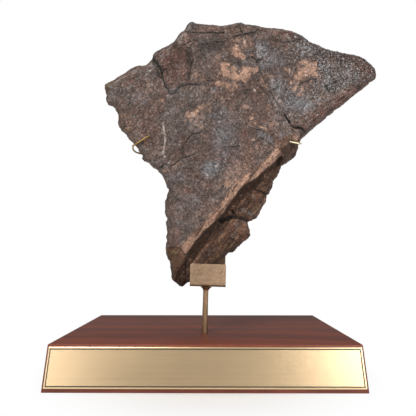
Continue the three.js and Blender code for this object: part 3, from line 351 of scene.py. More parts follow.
# Pale flecks, partly painted glints, most of all on the pebbled wing
PALE_AND_GLINT_PATCHES = [
    (-15, 290, 2.6, 2.2, 1, 30), (45.3, 385, 0.9, 2.4, 1), (46.5, 379, 1.6, 3, 0.7, 10),
    (57, 320, 1.5, 2.8, 0.95, 35), (62, 363.5, 1.6, 2, 0.9), (61, 367, 1, 1.4, 0.9),
    (64, 361, 2.6, 1.2, 0.5, -25), (72, 366, 1.2, 3, 0.5), (15.5, 282, 1.5, 1.3, 1),
    (18, 292.5, 1, 2.6, 0.7, 15), (15.8, 288, 1.2, 1.6, 0.5), (9.3, 272.7, 1, 1.4, 0.6),
    (12.3, 229, 1.5, 3, 0.9, -20), (3, 227, 1.6, 1.8, 0.6), (2, 219, 2.4, 1.6, 0.7),
    (-3, 222, 1.4, 1.4, 0.7), (-4, 229, 1, 1, 0.6), (23, 237.3, 1.4, 1.6, 0.8), (17, 260, 1, 2, 0.6),
    (16, 254, 1, 1.4, 0.6), (21, 245, 2, 3, 0.4), (32, 257.5, 1, 2, 0.6), (13.5, 245.3, 1.4, 1.2, 0.5),
    (134.5, 346.4, 1.9, 1.7, 1), (136.2, 342.6, 0.9, 0.8, 0.9), (125.5, 364.7, 2, 1.6, 1),
    (121.2, 363.6, 1.4, 1, 0.8), (116, 368, 1.4, 2, 0.9, 20), (110, 377, 1, 3, 0.8, -20),
    (117.5, 377, 0.9, 3, 0.7, 10), (107, 387.3, 1.6, 1, 0.8), (134, 361, 1.6, 1.2, 0.6),
    (138, 356, 1, 1.6, 0.5), (157.5, 340.4, 1.3, 1, 0.7), (163.5, 329.5, 1.6, 1.4, 0.9),
    (150.6, 330, 1.2, 1, 0.7), (148, 334, 1, 1, 0.5), (180, 336, 1.4, 1, 0.6),
    (158, 323, 2.2, 0.9, 0.9, -15), (-66, 344, 2, 1.2, 0.7, 20), (-91, 315.3, 1, 1, 0.8),
    (-44.3, 292.2, 1.6, 1.4, 0.7), (67.5, 265, 2.4, 1.2, 0.5, 20), (74.5, 257.5, 1.2, 1, 0.6),
    (68.5, 256, 1.4, 1, 0.5), (55, 259.6, 2.6, 0.9, 0.7, 15), (69, 245, 1, 1.2, 0.6),
    (65, 236, 1.4, 1.6, 0.6), (51, 229, 1, 1.4, 0.6), (37.5, 216, 1, 1.6, 0.6),
    (-15, 246, 1.6, 1.4, 0.4, 20), (-42, 233, 1.6, 2, 0.5), (-24.3, 200.8, 0.9, 0.8, 0.8),
    (41, 197, 2.2, 2, 0.45), (66, 205, 2, 1, 0.4, 30), (98, 267, 1.4, 1, 0.5), (66, 371, 6, 8, 0.32),
]

# Pale scratches: half width, strength and the line
SCRATCHES = [
    (1.2, 1.0, [
        (-49.5, 280.5), (-49, 272), (-47.5, 265), (-47, 258), (-48.6, 250), (-49.5, 245), (-47.8, 240)]),
    (1.5, 0.35, [(-46, 266), (-47, 256), (-48.5, 246)]),
    (0.7, 0.5, [(31, 302), (35, 294.5), (40.5, 283.5)]),
    (0.6, 0.4, [(29, 304), (33.5, 296), (38.5, 286)]),
    (0.7, 0.45, [(60, 308), (61.5, 300), (62.5, 293.5)]),
    (0.7, 0.4, [(24, 301.5), (19.5, 296), (15.5, 286)]),
    (0.6, 0.3, [(-7, 280), (-4, 274.5), (-3, 271.5)]),
    (0.7, 0.55, [(3.2, 388.5), (2, 385), (0.8, 381.5)]),
    (0.7, 0.3, [(-75, 325), (-71, 331), (-68, 338)]),
    (0.6, 0.35, [(8, 187), (12, 192.5), (16, 198)]),
    (0.6, 0.3, [(4, 183), (8, 188.5)]),
    (0.8, 0.5, [(28, 148), (33, 153.5), (41, 162)]),
    (0.8, 0.6, [(37, 169.6), (41, 165.6), (46, 163.6)]),
    (0.7, 0.3, [(-16, 240), (-8, 243), (0, 246)]),
    (0.6, 0.3, [(-38, 165.6), (-34, 163), (-30, 157.5), (-25, 153.6)]),
]

# Wire routes in mm: from behind the back plate, up behind the bone, round an edge and over its face
LEFT_WIRE = [
    (-8, -3.1, 100), (-8, -3.1, 128), (-12, -4, 156), (-25, -5, 198), (-46, -6, 230), (-66, -7, 246),
    (-78, -10, 250.5), (-84.3, -15, 251.3), (-86.6, -21, 252.1), (-86.2, -28, 253.2), (-84.8, -35, 254),
    (-81.8, -38, 254.9), (-77.2, -38.9, 257.3), (-71.2, -39.3, 261), (-65.8, -39.6, 264.3),
]
RIGHT_WIRE = [
    (13, -3.1, 100), (13, -3.1, 128), (20, -4, 156), (44, -5, 204), (76, -6, 240), (98, -7.5, 256),
    (108.7, -12, 260.2), (112.4, -19, 260.1), (112.1, -28, 258.2), (110.4, -34.5, 256.4),
    (107, -38, 255.9), (102, -39.2, 256.5), (97.8, -39.5, 257.3),
]

# The stand, in metres: sizes that the packed boxes don't give
FRONT_LEAN = 0.0112
POST_FOOT = Vector((-0.0012, -0.0293, 0.0415))
POST_LEAN = math.radians(1.6)
POST_FOOT_RADIUS, POST_TOP_RADIUS = 0.00345, 0.003
FLARE_RADIUS, FLARE_HEIGHT = 0.0063, 0.005
POST_SUNK = 0.025
HOLE_ROOM = 0.00035
CRADLE_WIDTH, CRADLE_OFFSET = 0.0407, 0.002
CRADLE_THICK, CRADLE_BEND = 0.0025, 0.0032
CRADLE_FRONT_Y, CRADLE_BACK_Y = -0.031, -0.0045
CRADLE_BOTTOM = 0.0504
FRONT_PLATE_HEIGHT, BACK_PLATE_HEIGHT = 0.0255, 0.038
PLAQUE_WIDTH, PLAQUE_HEIGHT, PLAQUE_THICK = 0.301, 0.037, 0.0015
PLAQUE_ABOVE_EDGE, PLAQUE_GAP = 0.0036, 0.0003
CRADLE_CORNER, CRADLE_ROUNDING, PLAQUE_CORNER = 1.4 * MM, 0.35 * MM, 0.8 * MM
POST_CHAMFER, POST_BELOW_CRADLE = 0.4 * MM, 0.3 * MM

# The rounded edges of the cradle and of the base have only faces smaller than these, in square metres
CRADLE_EDGE_FACE, BASE_EDGE_FACE = 8 * MM ** 2, 200 * MM ** 2

# The plaque's rings: inset from its edge and depth below its face, both in mm, and 1 where the ring
# lies in the engraved line
PLAQUE_RINGS = (
    (0, 1.5, 0), (0, 0.3, 0), (0.1, 0.1, 0), (0.3, 0, 0), (1.45, 0, 0), (1.6, 0.18, 1), (2.5, 0.18, 1),
    (2.65, 0, 0), (6, 0, 0),
)

# The camera, and the points that the lights face
CAMERA_PLACE = (0.0055, -0.4895, 0.1269)
CAMERA_TILT, CAMERA_TURN = math.radians(96.77), math.radians(0.36)
BONE_AIM, PLAQUE_AIM = (0.02, -0.03, 0.24), (0.06, -0.1, 0.02)


class BoneSettings(bpy.types.PropertyGroup):
    """Sizes and colours of the bone"""
    spacing: FloatProperty(
        name="Point spacing", description="Distance between the points of the bone's face",
        default=1.12 * MM, min=0.5 * MM, unit="LENGTH")
    back_spacing: FloatProperty(
        name="Back spacing", description="Distance between the points of the bone's back",
        default=1.9 * MM, min=0.5 * MM, unit="LENGTH")
    relief: FloatProperty(
        name="Relief", description="How rough the surface is, next to the real one",
        default=1.0, min=0.0, soft_max=2.0)
    dark: FloatVectorProperty(
        name="Dark bone", description="Colour of the darkest mineralised bone",
        subtype="COLOR", default=srgb(40, 31, 27))
    middle: FloatVectorProperty(
        name="Bone", description="Colour of most of the bone",
        subtype="COLOR", default=srgb(99, 80, 72))
    light: FloatVectorProperty(
        name="Light bone", description="Colour of the lightest mineralised bone",
        subtype="COLOR", default=srgb(170, 152, 142))
    tan: FloatVectorProperty(
        name="Tan", description="Colour of the tan breaks",
        subtype="COLOR", default=srgb(216, 169, 142))
    rust: FloatVectorProperty(
        name="Rust", description="Colour of the reddish stain",
        subtype="COLOR", default=srgb(108, 66, 51))
    # The blue-grey skin colour also stands for painted sheen
    slate: FloatVectorProperty(
        name="Slate", description="Colour of the blue-grey skin",
        subtype="COLOR", default=srgb(143, 142, 147))
    earth: FloatVectorProperty(
        name="Earth", description="Colour of the warm brown breaks in the recess and at the tip",
        subtype="COLOR", default=srgb(112, 73, 47))
    olive: FloatVectorProperty(
        name="Olive", description="Colour of the yellowish crust",
        subtype="COLOR", default=srgb(104, 80, 46))


class MetalSettings(bpy.types.PropertyGroup):
    """Sizes and colours of the brass"""
    wire_radius: FloatProperty(
        name="Wire radius", description="Radius of the hook wires",
        default=1.0 * MM, min=0.3 * MM, unit="LENGTH")
    wire_step: FloatProperty(
        name="Wire step", description="Distance between the rings of a hook wire",
        default=1.4 * MM, min=0.3 * MM, unit="LENGTH")
    strip: FloatVectorProperty(
        name="Strip", description="Colour of the cradle's brass strip",
        subtype="COLOR", default=srgb(166, 138, 112))
    rod: FloatVectorProperty(
        name="Rod", description="Colour of the post",
        subtype="COLOR", default=srgb(156, 126, 98))
    left_wire: FloatVectorProperty(
        name="Left wire", description="Colour of the browned left wire",
        subtype="COLOR", default=srgb(146, 118, 74))
    right_wire: FloatVectorProperty(
        name="Right wire", description="Colour of the bright right wire",
        subtype="COLOR", default=srgb(238, 220, 184))
    plate: FloatVectorProperty(
        name="Plate", description="Colour of the plaque",
        subtype="COLOR", default=srgb(240, 209, 166))


class WoodSettings(bpy.types.PropertyGroup):
    """Sizes and colours of the base"""
    rounding: FloatProperty(
        name="Edge rounding", description="Radius of the base's edges",
        default=0.8 * MM, min=0.1 * MM, unit="LENGTH")
    dark: FloatVectorProperty(
        name="Dark wood", description="Colour of the dark grain",
        subtype="COLOR", default=srgb(92, 44, 31))
    light: FloatVectorProperty(
        name="Light wood", description="Colour of the light grain",
        subtype="COLOR", default=srgb(136, 72, 53))


class StudioSettings(bpy.types.PropertyGroup):
    """Camera, lights and floor"""
    focal_length: FloatProperty(
        name="Focal length", description="Focal length of the camera on a 36 mm sensor, in mm",
        default=34.615, min=5.0)
    key_power: FloatProperty(
        name="Key light", description="Power of the light at the upper left",
        default=18.0, min=0.0, unit="POWER")
    fill_power: FloatProperty(
        name="Fill light", description="Power of the light at the right",
        default=6.0, min=0.0, unit="POWER")
    panel_power: FloatProperty(
        name="Panels", description="Power of the panels that the plaque reflects",
        default=6.0, min=0.0, unit="POWER")
    surroundings: FloatProperty(
        name="Surroundings", description="Brightness of the white room as a light",
        default=0.22, min=0.0)
    floor: FloatVectorProperty(
        name="Floor", description="Colour of the floor",
        subtype="COLOR", default=(0.9, 0.9, 0.9))


# Numbers and distances

def smoothstep(low, high, value):
    t = np.clip((value - low) / (high - low), 0, 1)
    return t * t * (3 - 2 * t)


def distance_to_line(x, z, line):
    nearest = np.full(x.shape, np.inf)
    for (ax, az), (bx, bz) in zip(line, line[1:]):
        span_x, span_z = bx - ax, bz - az
        along = ((x - ax) * span_x + (z - az) * span_z) / (span_x ** 2 + span_z ** 2)
        along = np.clip(along, 0, 1)
        nearest = np.minimum(nearest, np.hypot(x - ax - along * span_x, z - az - along * span_z))
    return nearest


def is_inside(x, z, loop):
    inside = np.zeros(x.shape, bool)
    for (ax, az), (bx, bz) in zip(loop, loop[-1:] + loop[:-1]):
        if az == bz:
            continue
        crosses = (az > z) != (bz > z)
        inside ^= crosses & (x < (bx - ax) * (z - az) / (bz - az) + ax)
    return inside


def side_distance(x, z, line, corners):
    """Distance to a line, positive on the side that the corners close off"""
    sign = np.where(is_inside(x, z, line + corners), 1, -1)
    return sign * distance_to_line(x, z, line)


# Repeatable noise

def lattice(ix, iy, iz, seed):
    """A number from -1 to 1 for each point of a whole-number lattice"""
    mixed = ix * 374761393 + iy * 668265263 + iz * 2246822519 + seed * 3266489917
    mixed = (mixed ^ (mixed >> 15)) * 2654435761 & 0xFFFFFFFF
    mixed = (mixed ^ (mixed >> 13)) * 3266489917 & 0xFFFFFFFF
    return (mixed ^ (mixed >> 16)).astype(float) / 0x7FFFFFFF - 1


def soft_noise(x, y, z, size, seed):
    """Smooth noise from -1 to 1, with lumps of about this size"""
    scaled = [np.asarray(v, float) / size for v in (x, y, z)]
    corner = [np.floor(v).astype(np.int64) for v in scaled]
    part = [v - c for v, c in zip(scaled, corner)]
    part = [t * t * t * (t * (t * 6 - 15) + 10) for t in part]
    total = 0
    for dx in (0, 1):
        for dy in (0, 1):
            for dz in (0, 1):
                weight = (part[0] if dx else 1 - part[0]) * (part[1] if dy else 1 - part[1])
                weight = weight * (part[2] if dz else 1 - part[2])
                total = total + weight * lattice(corner[0] + dx, corner[1] + dy, corner[2] + dz, seed)
    return total


def layered_noise(x, y, z, size, layers, seed):
    """Noise whose smaller lumps ride on larger ones, each layer turned against the last"""
    total, weight, sum_of_weights = 0, 1, 0
    for layer in range(layers):
        total = total + weight * soft_noise(x, y, z, size, seed + layer)
        sum_of_weights += weight
        x, z = 0.8 * x - 0.6 * z + 17.3, 0.6 * x + 0.8 * z - 9.1
        size, weight = size * 0.5, weight * 0.55
    return total / sum_of_weights


def pebble_noise(x, z, size, seed):
    """How far a point is from the gaps of a pebbled surface, 0 in a gap"""
    cell_x, cell_z = np.floor(x / size), np.floor(z / size)
    nearest, second = np.full(x.shape, np.inf), np.full(x.shape, np.inf)
    for dx in (-1, 0, 1):
        for dz in (-1, 0, 1):
            ix, iz = (cell_x + dx).astype(np.int64), (cell_z + dz).astype(np.int64)
            centre_x = (ix + 0.5 + 0.4 * lattice(ix, iz, iz * 0, seed)) * size
            centre_z = (iz + 0.5 + 0.4 * lattice(ix, iz, iz * 0, seed + 1)) * size
            reach = np.hypot(x - centre_x, z - centre_z) / size
            second = np.minimum(second, np.maximum(nearest, reach))
            nearest = np.minimum(nearest, reach)
    return second - nearest


def streaks(x, z, angle, width, length, seed):
    """Noise drawn out in one direction, for striations in the bone"""
    turn = math.radians(angle)
    along = x * math.cos(turn) + z * math.sin(turn)
    across = z * math.cos(turn) - x * math.sin(turn)
    return soft_noise(along / length, 0, across / width, 1, seed)


# Points in the plane of the bone

def walk(line, step, closed):
    points = []
    ends = line[1:] + line[:1] if closed else line[1:]
    for (ax, az), (bx, bz) in zip(line, ends):
        parts = max(1, math.floor(math.hypot(bx - ax, bz - az) / step + 0.5))
        points += [(ax + (bx - ax) * k / parts, az + (bz - az) * k / parts) for k in range(parts)]
    return points


def shrink(loop, distance):
    """A loop moved to its left side, in small steps that are smoothed so that it doesn't fold"""
    steps = math.ceil(distance)
    current = np.array(loop, float)
    for _ in range(steps):
        before, after = np.roll(current, 1, axis=0), np.roll(current, -1, axis=0)
        along = after - before
        along /= np.hypot(along[:, 0], along[:, 1])[:, None]
        inward = np.stack([-along[:, 1], along[:, 0]], axis=1)
        current = 0.8 * current + 0.1 * (before + after) + inward * distance / steps
    return current


def split_loop(loop, parts):
    """The same loop with each of its edges cut into equal parts"""
    loop = np.asarray(loop, float)
    after = np.roll(loop, -1, axis=0)
    rows = [loop + (after - loop) * k / parts for k in range(parts)]
    return np.stack(rows, axis=1).reshape(-1, 2)


def parallels(line, step, offsets):
    """Rows of points beside a line, at the given distances to its left"""
    middle = np.array(walk(line, step, False))
    along = middle[1:] - middle[:-1]
    along /= np.hypot(along[:, 0], along[:, 1])[:, None]
    left = np.stack([-along[:, 1], along[:, 0]], axis=1)
    return np.concatenate([middle[:-1] + left * offset for offset in offsets])


def thin_out(points, room):
    """Points with at most one left in each small square"""
    cells = np.floor(points / room).astype(np.int64)
    _, first = np.unique(cells[:, 0] * 100003 + cells[:, 1], return_index=True)
    return points[np.sort(first)]


def well_inside(points, loop, margin):
    """The points inside a loop and clear of its edge"""
    points = points[is_inside(points[:, 0], points[:, 1], loop)]
    return points[distance_to_line(points[:, 0], points[:, 1], loop + loop[:1]) > margin]


def field_points(loop, step, margin, taken):
    """Scattered points inside a loop, clear of its edge and of the points already there"""
    low, high = np.min(loop, axis=0), np.max(loop, axis=0)
    rows, columns = np.meshgrid(
        np.arange(int((high[1] - low[1]) / (step * 0.866)) + 1),
        np.arange(int((high[0] - low[0]) / step) + 1), indexing="ij")
    jitter = 0.28
    shift_x = jitter * lattice(rows, columns, rows * 0, 5)
    shift_z = jitter * lattice(rows, columns, rows * 0, 6)
    x = low[0] + (columns + (rows % 2) / 2 + shift_x) * step
    z = low[1] + (rows * 0.866 + shift_z) * step
    points = well_inside(np.stack([x.ravel(), z.ravel()], axis=1), loop, margin)
    grid = {}
    reach = step * 0.62
    for px, pz in taken:
        grid.setdefault((int(px // reach), int(pz // reach)), []).append((px, pz))
    kept = []
    for px, pz in points.tolist():
        cell_x, cell_z = int(px // reach), int(pz // reach)
        near = [p for i in (-1, 0, 1) for k in (-1, 0, 1) for p in grid.get((cell_x + i, cell_z + k), ())]
        if all(math.hypot(px - qx, pz - qz) > reach for qx, qz in near):
            kept.append((px, pz))
    return np.array(kept)


def fill_face(rim, inner):
    """Triangles between a closed rim and the points inside it, counterclockwise seen from the front"""
    points = np.concatenate([rim, inner])
    count = len(rim)
    edges = [(i, (i + 1) % count) for i in range(count)]
    made = delaunay_2d_cdt([Vector(p) for p in points.tolist()], edges, [], 1, 1e-7, False)
    if len(made[0]) != len(points):
        raise RuntimeError("The rim of the bone crosses itself: make it less ragged")
    faces = np.array([list(face) for face in made[2]])
    # The triangles also fill the hollows of the rim, so only those within it are kept
    middle = points[faces].mean(axis=1)
    return points, faces[is_inside(middle[:, 0], middle[:, 1], [tuple(p) for p in rim])]


def check_closed(faces):
    """Raises an error unless every edge of the mesh has one face on each side"""
    edges = np.concatenate([faces[:, [0, 1]], faces[:, [1, 2]], faces[:, [2, 0]]])
    forward = edges[:, 0] * (faces.max() + 1) + edges[:, 1]
    backward = edges[:, 1] * (faces.max() + 1) + edges[:, 0]
    if len(np.unique(forward)) != len(forward) or not np.array_equal(np.sort(forward), np.sort(backward)):
        raise RuntimeError("The bone's mesh isn't closed")


# The bone's relief. Everything here is in millimetres.

def painted(x, z, patches, ragged):
    """How strongly a group of patches covers each point"""
    cover = np.zeros(x.shape)
    for cx, cz, half_width, half_height, strength, *tilt in patches:
        turn = math.radians(tilt[0]) if tilt else 0
        along = ((x - cx) * math.cos(turn) + (z - cz) * math.sin(turn)) / half_width
        across = ((z - cz) * math.cos(turn) - (x - cx) * math.sin(turn)) / half_height
        reach = np.hypot(along, across) + ragged * min(1, 4 / min(half_width, half_height))
        cover = np.maximum(cover, strength * (1 - smoothstep(0.2, 1.5, reach)))
    return cover


def lump_rise(x, z, lumps):
    rise = np.zeros(x.shape)
    for cx, cz, radius, height in lumps:
        rise += height * np.exp(-((x - cx) ** 2 + (z - cz) ** 2) / radius ** 2)
    return rise


def ledge_drop(x, side):
    """How far the face steps back at the ledge: a bevel, a steep drop, then a rise to the far rim"""
    prong = smoothstep(84, 93, x)
    bevel_width = BEVEL_WIDTH - 5.5 * smoothstep(66, 88, x)
    bevel = BEVEL_DROP * np.clip((side + bevel_width) / (bevel_width + 0.5), 0, 1) * (1 - 0.5 * prong)
    cliff = CLIFF_DROP * smoothstep(0, CLIFF_WIDTH, side) * (1 - prong)
    slope = CLIFF_DROP * smoothstep(0, 20, side) * prong
    rise = GUTTER_RISE * smoothstep(4, 19, side) * (1 - prong)
    return bevel + cliff + slope - rise


def front_surface(x, z, rim, relief):
    """The face of the bone: its depth and what it is like at each point"""
    ragged_edge = 0.7 * layered_noise(x, 0, z, 5, 3, 11)
    side = side_distance(x, z, LEDGE, RECESS_CORNERS) + ragged_edge
    flap_side = side_distance(x, z, FLAP, FLAP_CORNERS) + 0.7 * ragged_edge
    tip_side = side_distance(x, z, TIP_BREAK, TIP_CORNERS) + ragged_edge
    from_rim = distance_to_line(x, z, rim + rim[:1])

    bow = 5 * ((x - 20) / 180) ** 2 + 2 * ((z - 285) / 130) ** 2
    edge = FRONT_ROUNDING * (1 - smoothstep(0, FRONT_ROUNDING_WIDTH, from_rim))
    drop = ledge_drop(x, side)
    flap_fade = 1 - smoothstep(-18, 24, x)
    flap = FLAP_HEIGHT * smoothstep(-FLAP_STEP, 0, flap_side) * flap_fade
    tip = TIP_DROP * smoothstep(-1, 2, tip_side) + TIP_SLOPE * np.maximum(tip_side, 0)

    crack = np.zeros(x.shape)
    wander = 0.5 * layered_noise(x, 9, z, 4, 2, 21)
    for depth, spread, line in CRACKS:
        near = distance_to_line(x + wander, z - wander, line) / spread
        crack = np.maximum(crack, depth * (1 - smoothstep(0.15, 1, near)))
    pit = np.zeros(x.shape)
    for cx, cz, radius, depth in PITS:
        near = np.hypot(x - cx + wander, z - cz + wander) / radius
        pit = np.maximum(pit, depth * (1 - smoothstep(0.3, 1.1, near)))

    recess = smoothstep(0, 3, side) * (1 - smoothstep(84, 93, x) * 0.5)
    broken_tip = smoothstep(-0.5, 1, tip_side)
    rough = np.maximum(recess, broken_tip)
    on_flap = smoothstep(-0.6, 0.3, flap_side) * (1 - smoothstep(-38, -24, x))
    pebbled = smoothstep(104, 128, x + 0.25 * (z - 340)) * smoothstep(312, 330, z - 0.35 * (x - 160))
    pebbled = np.maximum(pebbled, painted(x, z, PEBBLED_PATCHES, 0.3 * ragged_edge))
    slab = smoothstep(-30, -8, side) * (1 - smoothstep(-9, -6, side)) * (1 - smoothstep(190, 230, z))
    lower = (1 - smoothstep(205, 225, z)) * (1 - smoothstep(-12, -6, side))

    broad = 0.9 * layered_noise(x, 3, z, 42, 2, 31)
    middle = layered_noise(x, 5, z, 13, 3, 41)
    fine = layered_noise(x, 7, z, 4.2, 3, 51)
    grains = layered_noise(x, 8, z, 1.9, 2, 61)
    gap = pebble_noise(x + 0.8 * fine, z - 0.8 * fine, 4.6, 71)
    pebble = smoothstep(0, 0.45, gap)
    lines = 0.22 * on_flap * streaks(x, z, 28, 1.5, 16, 81)
    lines = lines + 0.2 * lower * streaks(x, z, 82, 1.5, 20, 82)
    lines = lines + 0.4 * slab * streaks(x, z, 52, 2.2, 26, 83)
    grooves = streaks(x + fine, z - fine, 54, 2.4, 22, 84)
    lines = lines + 0.9 * recess * grooves
    shoulder = smoothstep(108, 118, x) * (1 - smoothstep(9, 15, from_rim))
    shoulder = shoulder * (1 - smoothstep(330, 345, z - 0.1 * x))
    strands = streaks(x, z + 0.5 * fine, 39, 2.2, 20, 85)
    lines = lines + 1.2 * shoulder * strands
    texture = (0.8 + 0.8 * rough) * middle + (0.6 + 0.7 * rough) * fine + (0.35 + 0.3 * rough) * grains
    texture = texture + lines + 0.7 * pebbled * (pebble - 0.6)

    rise = flap + lump_rise(x, z, LUMPS) + relief * (broad + texture)
    y = FACE_Y + bow + edge + drop + tip + crack + pit - rise
    in_seat = (x > SEAT_LEFT) & (z < SEAT_TOP)
    y = np.where(in_seat, np.maximum(y, SEAT_FRONT_Y), y)

    ragged = 0.55 * layered_noise(x, 2, z, 7, 3, 91) + 0.4 * layered_noise(x, 4, z, 2.6, 2, 92)
    above = smoothstep(126, 134, z)
    band = smoothstep(-BEVEL_WIDTH - 4, -BEVEL_WIDTH + 3.5, side + 4 * ragged)
    band = band * (1 - smoothstep(-1.2, 1, side)) * above * (1 - smoothstep(80, 88, x))
    band_lines = streaks(x + fine, z - fine, 50, 1.8, 16, 86)
    band = band * np.clip(0.62 + 0.8 * band_lines - 0.5 * middle - 0.3 * grains, 0, 1)
    # Painted shade: under the ledge, beside the raised flap, in the cracks and pits and in the low spots of
    # the relief
    under_ledge = smoothstep(-0.3, 0.8, side) * (1 - smoothstep(6, 17, side + 5 * ragged))
    beside_flap = smoothstep(-4.2, -1.6, flap_side) * (1 - smoothstep(-1.2, 0.1, flap_side)) * flap_fade
    patchy = 0.35 + 0.65 * smoothstep(-0.45, 0.15, layered_noise(x, 6, z, 9, 3, 93))
    hollow = np.clip(crack / 1.1, 0, 1) * patchy + np.clip(pit / 1.0, 0, 1) * 0.8
    hollow = np.maximum(hollow, 0.95 * beside_flap)
    hollow = np.maximum(hollow, 0.35 * under_ledge * patchy)
    tan = np.maximum(painted(x, z, TAN_PATCHES, ragged), band)
    near_split = distance_to_line(x, z, [(65, 336), (73, 322), (90, 304)])
    tan = np.maximum(tan, 0.5 * (1 - smoothstep(0.4, 1.5, near_split + ragged)))
    pale = painted(x, z, PALE_AND_GLINT_PATCHES, 0.7 * ragged)
    for half_width, strength, line in SCRATCHES:
        near = distance_to_line(x + 0.6 * wander, z, line) / half_width
        pale = np.maximum(pale, strength * (0.75 + 0.4 * fine) * (1 - smoothstep(0.4, 1.5, near)))
    tan = np.maximum(tan, 0.3 * recess * smoothstep(0.1, 0.5, grooves)) * (1 - np.clip(hollow, 0, 1))
    hollow = hollow + 0.35 * smoothstep(0.15, 0.7, -fine) + 0.15 * smoothstep(0.2, 0.7, -middle)
    return y, {
        "tan": tan,
        "rust": np.maximum(painted(x, z, RUST_PATCHES, ragged), 0.6 * shoulder),
        "slate": painted(x, z, SLATE_PATCHES, ragged),
        "olive": painted(x, z, OLIVE_PATCHES, ragged),
        "earth": np.maximum.reduce([
            smoothstep(0, 3, side), broken_tip, 0.75 * smoothstep(-11, -6, side) * above]),
        "pale": pale,
        # The dark layer: dark patches and striations, darker near the rim, and painted shade under the ledge
        # and in the recess
        "gloom": np.maximum.reduce([
            painted(x, z, DARK_AND_SHADOW_PATCHES, ragged), 0.8 * under_ledge, 0.4 * recess,
            (0.8 * recess + 0.5 * broken_tip) * smoothstep(0, 0.5, -grooves),
            0.8 * shoulder * smoothstep(0.15, 0.6, -strands),
            0.75 * (1 - smoothstep(0.5, 3.6, from_rim + 1.4 * ragged))]),
        "hollow": np.clip(hollow, 0, 1),
        "pebbled": pebbled,
        "broken": np.maximum(0.5 * rough, 0.6 * (1 - smoothstep(0.5, 2.5, from_rim))),
    }


def back_surface(x, z, rim, relief):
    """The back of the bone, which is plainer"""
    from_rim = distance_to_line(x, z, rim + rim[:1])
    flake_side = side_distance(x, z, BACK_FLAKE, BACK_FLAKE_CORNERS) + layered_noise(x, 0, z, 8, 3, 111)
    middle = layered_noise(x, 33, z, 15, 3, 112)
    fine = layered_noise(x, 35, z, 5, 3, 113)
    lines = streaks(x, z, 78, 2.6, 30, 114)
    near = np.minimum(distance_to_line(x + 2 * fine, z, BACK_CRACKS[0]),
                      distance_to_line(x, z + 2 * fine, BACK_CRACKS[1]))
    crack = 1.6 * (1 - smoothstep(0.2, 1.6, near))
    layer = smoothstep(-0.8, 0.8, flake_side)
    rise = BACK_FLAKE_HEIGHT * layer + lump_rise(x, z, BACK_LUMPS)
    rise = rise + relief * (0.7 * middle + 0.3 * fine + 0.22 * lines)
    y = BACK_Y - BACK_ROUNDING * (1 - smoothstep(0, BACK_ROUNDING_WIDTH, from_rim)) + rise - crack
    in_seat = (x > SEAT_LEFT) & (z < SEAT_TOP)
    y = np.where(in_seat, np.minimum(y, SEAT_BACK_Y), y)
    patch = layered_noise(x, 41, z, 34, 4, 115)
    stain = layered_noise(x, 43, z, 28, 4, 116)
    skin = layered_noise(x, 45, z, 40, 4, 117)
    edge = smoothstep(-3, -0.4, flake_side) * (1 - layer)
    return y, {
        "tan": 0.9 * smoothstep(0.25, 0.5, patch) * (1 - edge),
        "rust": 0.9 * smoothstep(0.1, 0.45, stain),
        "slate": 0.8 * smoothstep(0.15, 0.5, skin),
        "olive": 0.5 * smoothstep(0.35, 0.6, -patch),
        "earth": 0.3 + 0 * x,
        "pale": 0 * x,
        "gloom": 0.5 * smoothstep(0.2, 0.6, -skin),
        # Painted shade in the cracks and along the edge of the flaked layer
        "hollow": np.clip(np.maximum(crack / 1.3, 0.9 * edge) + 0.4 * smoothstep(0.2, 0.7, -fine), 0, 1),
        "pebbled": 0 * x,
        "broken": 0.4 * (1 - smoothstep(0.5, 4, from_rim)),
    }


# Rows of points from each ring of the broken edge to the next: how many, and the first knot of the curve
WALL_ROWS = ((4, 0), (3, 1), (4, 2))


def split_layers(x, y, z):
    """How close a point is to a split between the bone's layers, 1 in a split"""
    return np.abs((y + 1.2 * layered_noise(x, y, z, 22, 2, 131)) / 3.4 % 1 - 0.5) * 2


def wall_rows(rings, relief):
    """The broken edge between the front and the back rim: rows of points on a rounded profile"""
    ghost_front = 2 * rings[0] - rings[1]
    ghost_front[:, 1] = rings[0][:, 1] - 1.5
    ghost_back = 2 * rings[3] - rings[2]
    ghost_back[:, 1] = rings[3][:, 1] + 2.5
    knots = [ghost_front, *rings, ghost_back]
    rows = []
    for parts, start in WALL_ROWS:
        a, b, c, d = knots[start:start + 4]
        for k in range(parts):
            t = k / parts
            rows.append(0.5 * (2 * b + (c - a) * t + (2 * a - 5 * b + 4 * c - d) * t ** 2
                               + (3 * b - a - 3 * c + d) * t ** 3))
    rows = rows[1:]
    along = np.roll(rings[1], -1, axis=0) - np.roll(rings[1], 1, axis=0)
    length = np.hypot(along[:, 0], along[:, 2])
    outward = np.stack([along[:, 2] / length, 0 * length, -along[:, 0] / length], axis=1)
    finished = []
    for index, row in enumerate(rows):
        share = math.sin(math.pi * (index + 1) / (len(rows) + 1))
        x, y, z = row.T
        push = 0.9 * layered_noise(x, y, z, 7, 3, 132) + 0.5 * layered_noise(x, y, z, 2.4, 2, 133)
        push = push - 0.7 * smoothstep(0.7, 1, split_layers(x, y, z))
        finished.append(row + outward * (relief * share * push)[:, None])
    return finished


def wall_look(x, y, z):
    """What the broken edge is like at each point"""
    porous = layered_noise(x, y, z, 2.6, 3, 141)
    patch = layered_noise(x, y, z, 18, 3, 142)
    # Painted shade in the pores and in the splits between layers
    hollow = 0.5 * smoothstep(0.1, 0.6, -porous) + 0.5 * smoothstep(0.75, 1, split_layers(x, y, z))
    deep = smoothstep(-30, -24, y)
    return {
        "tan": 0.4 * smoothstep(0.2, 0.5, patch) * (1 - deep * 0.5),
        "rust": 0.55 + 0.3 * patch,
        "slate": 0.2 * smoothstep(0.2, 0.5, -patch),
        "olive": 0.45 * smoothstep(0.1, 0.5, -patch),
        "earth": 0.8 + 0.2 * patch,
        "pale": 0 * x,
        "gloom": 0.35 + 0.35 * deep,
        "hollow": np.clip(hollow, 0, 1),
        "pebbled": 0 * x,
        "broken": 1 + 0 * x,
    }


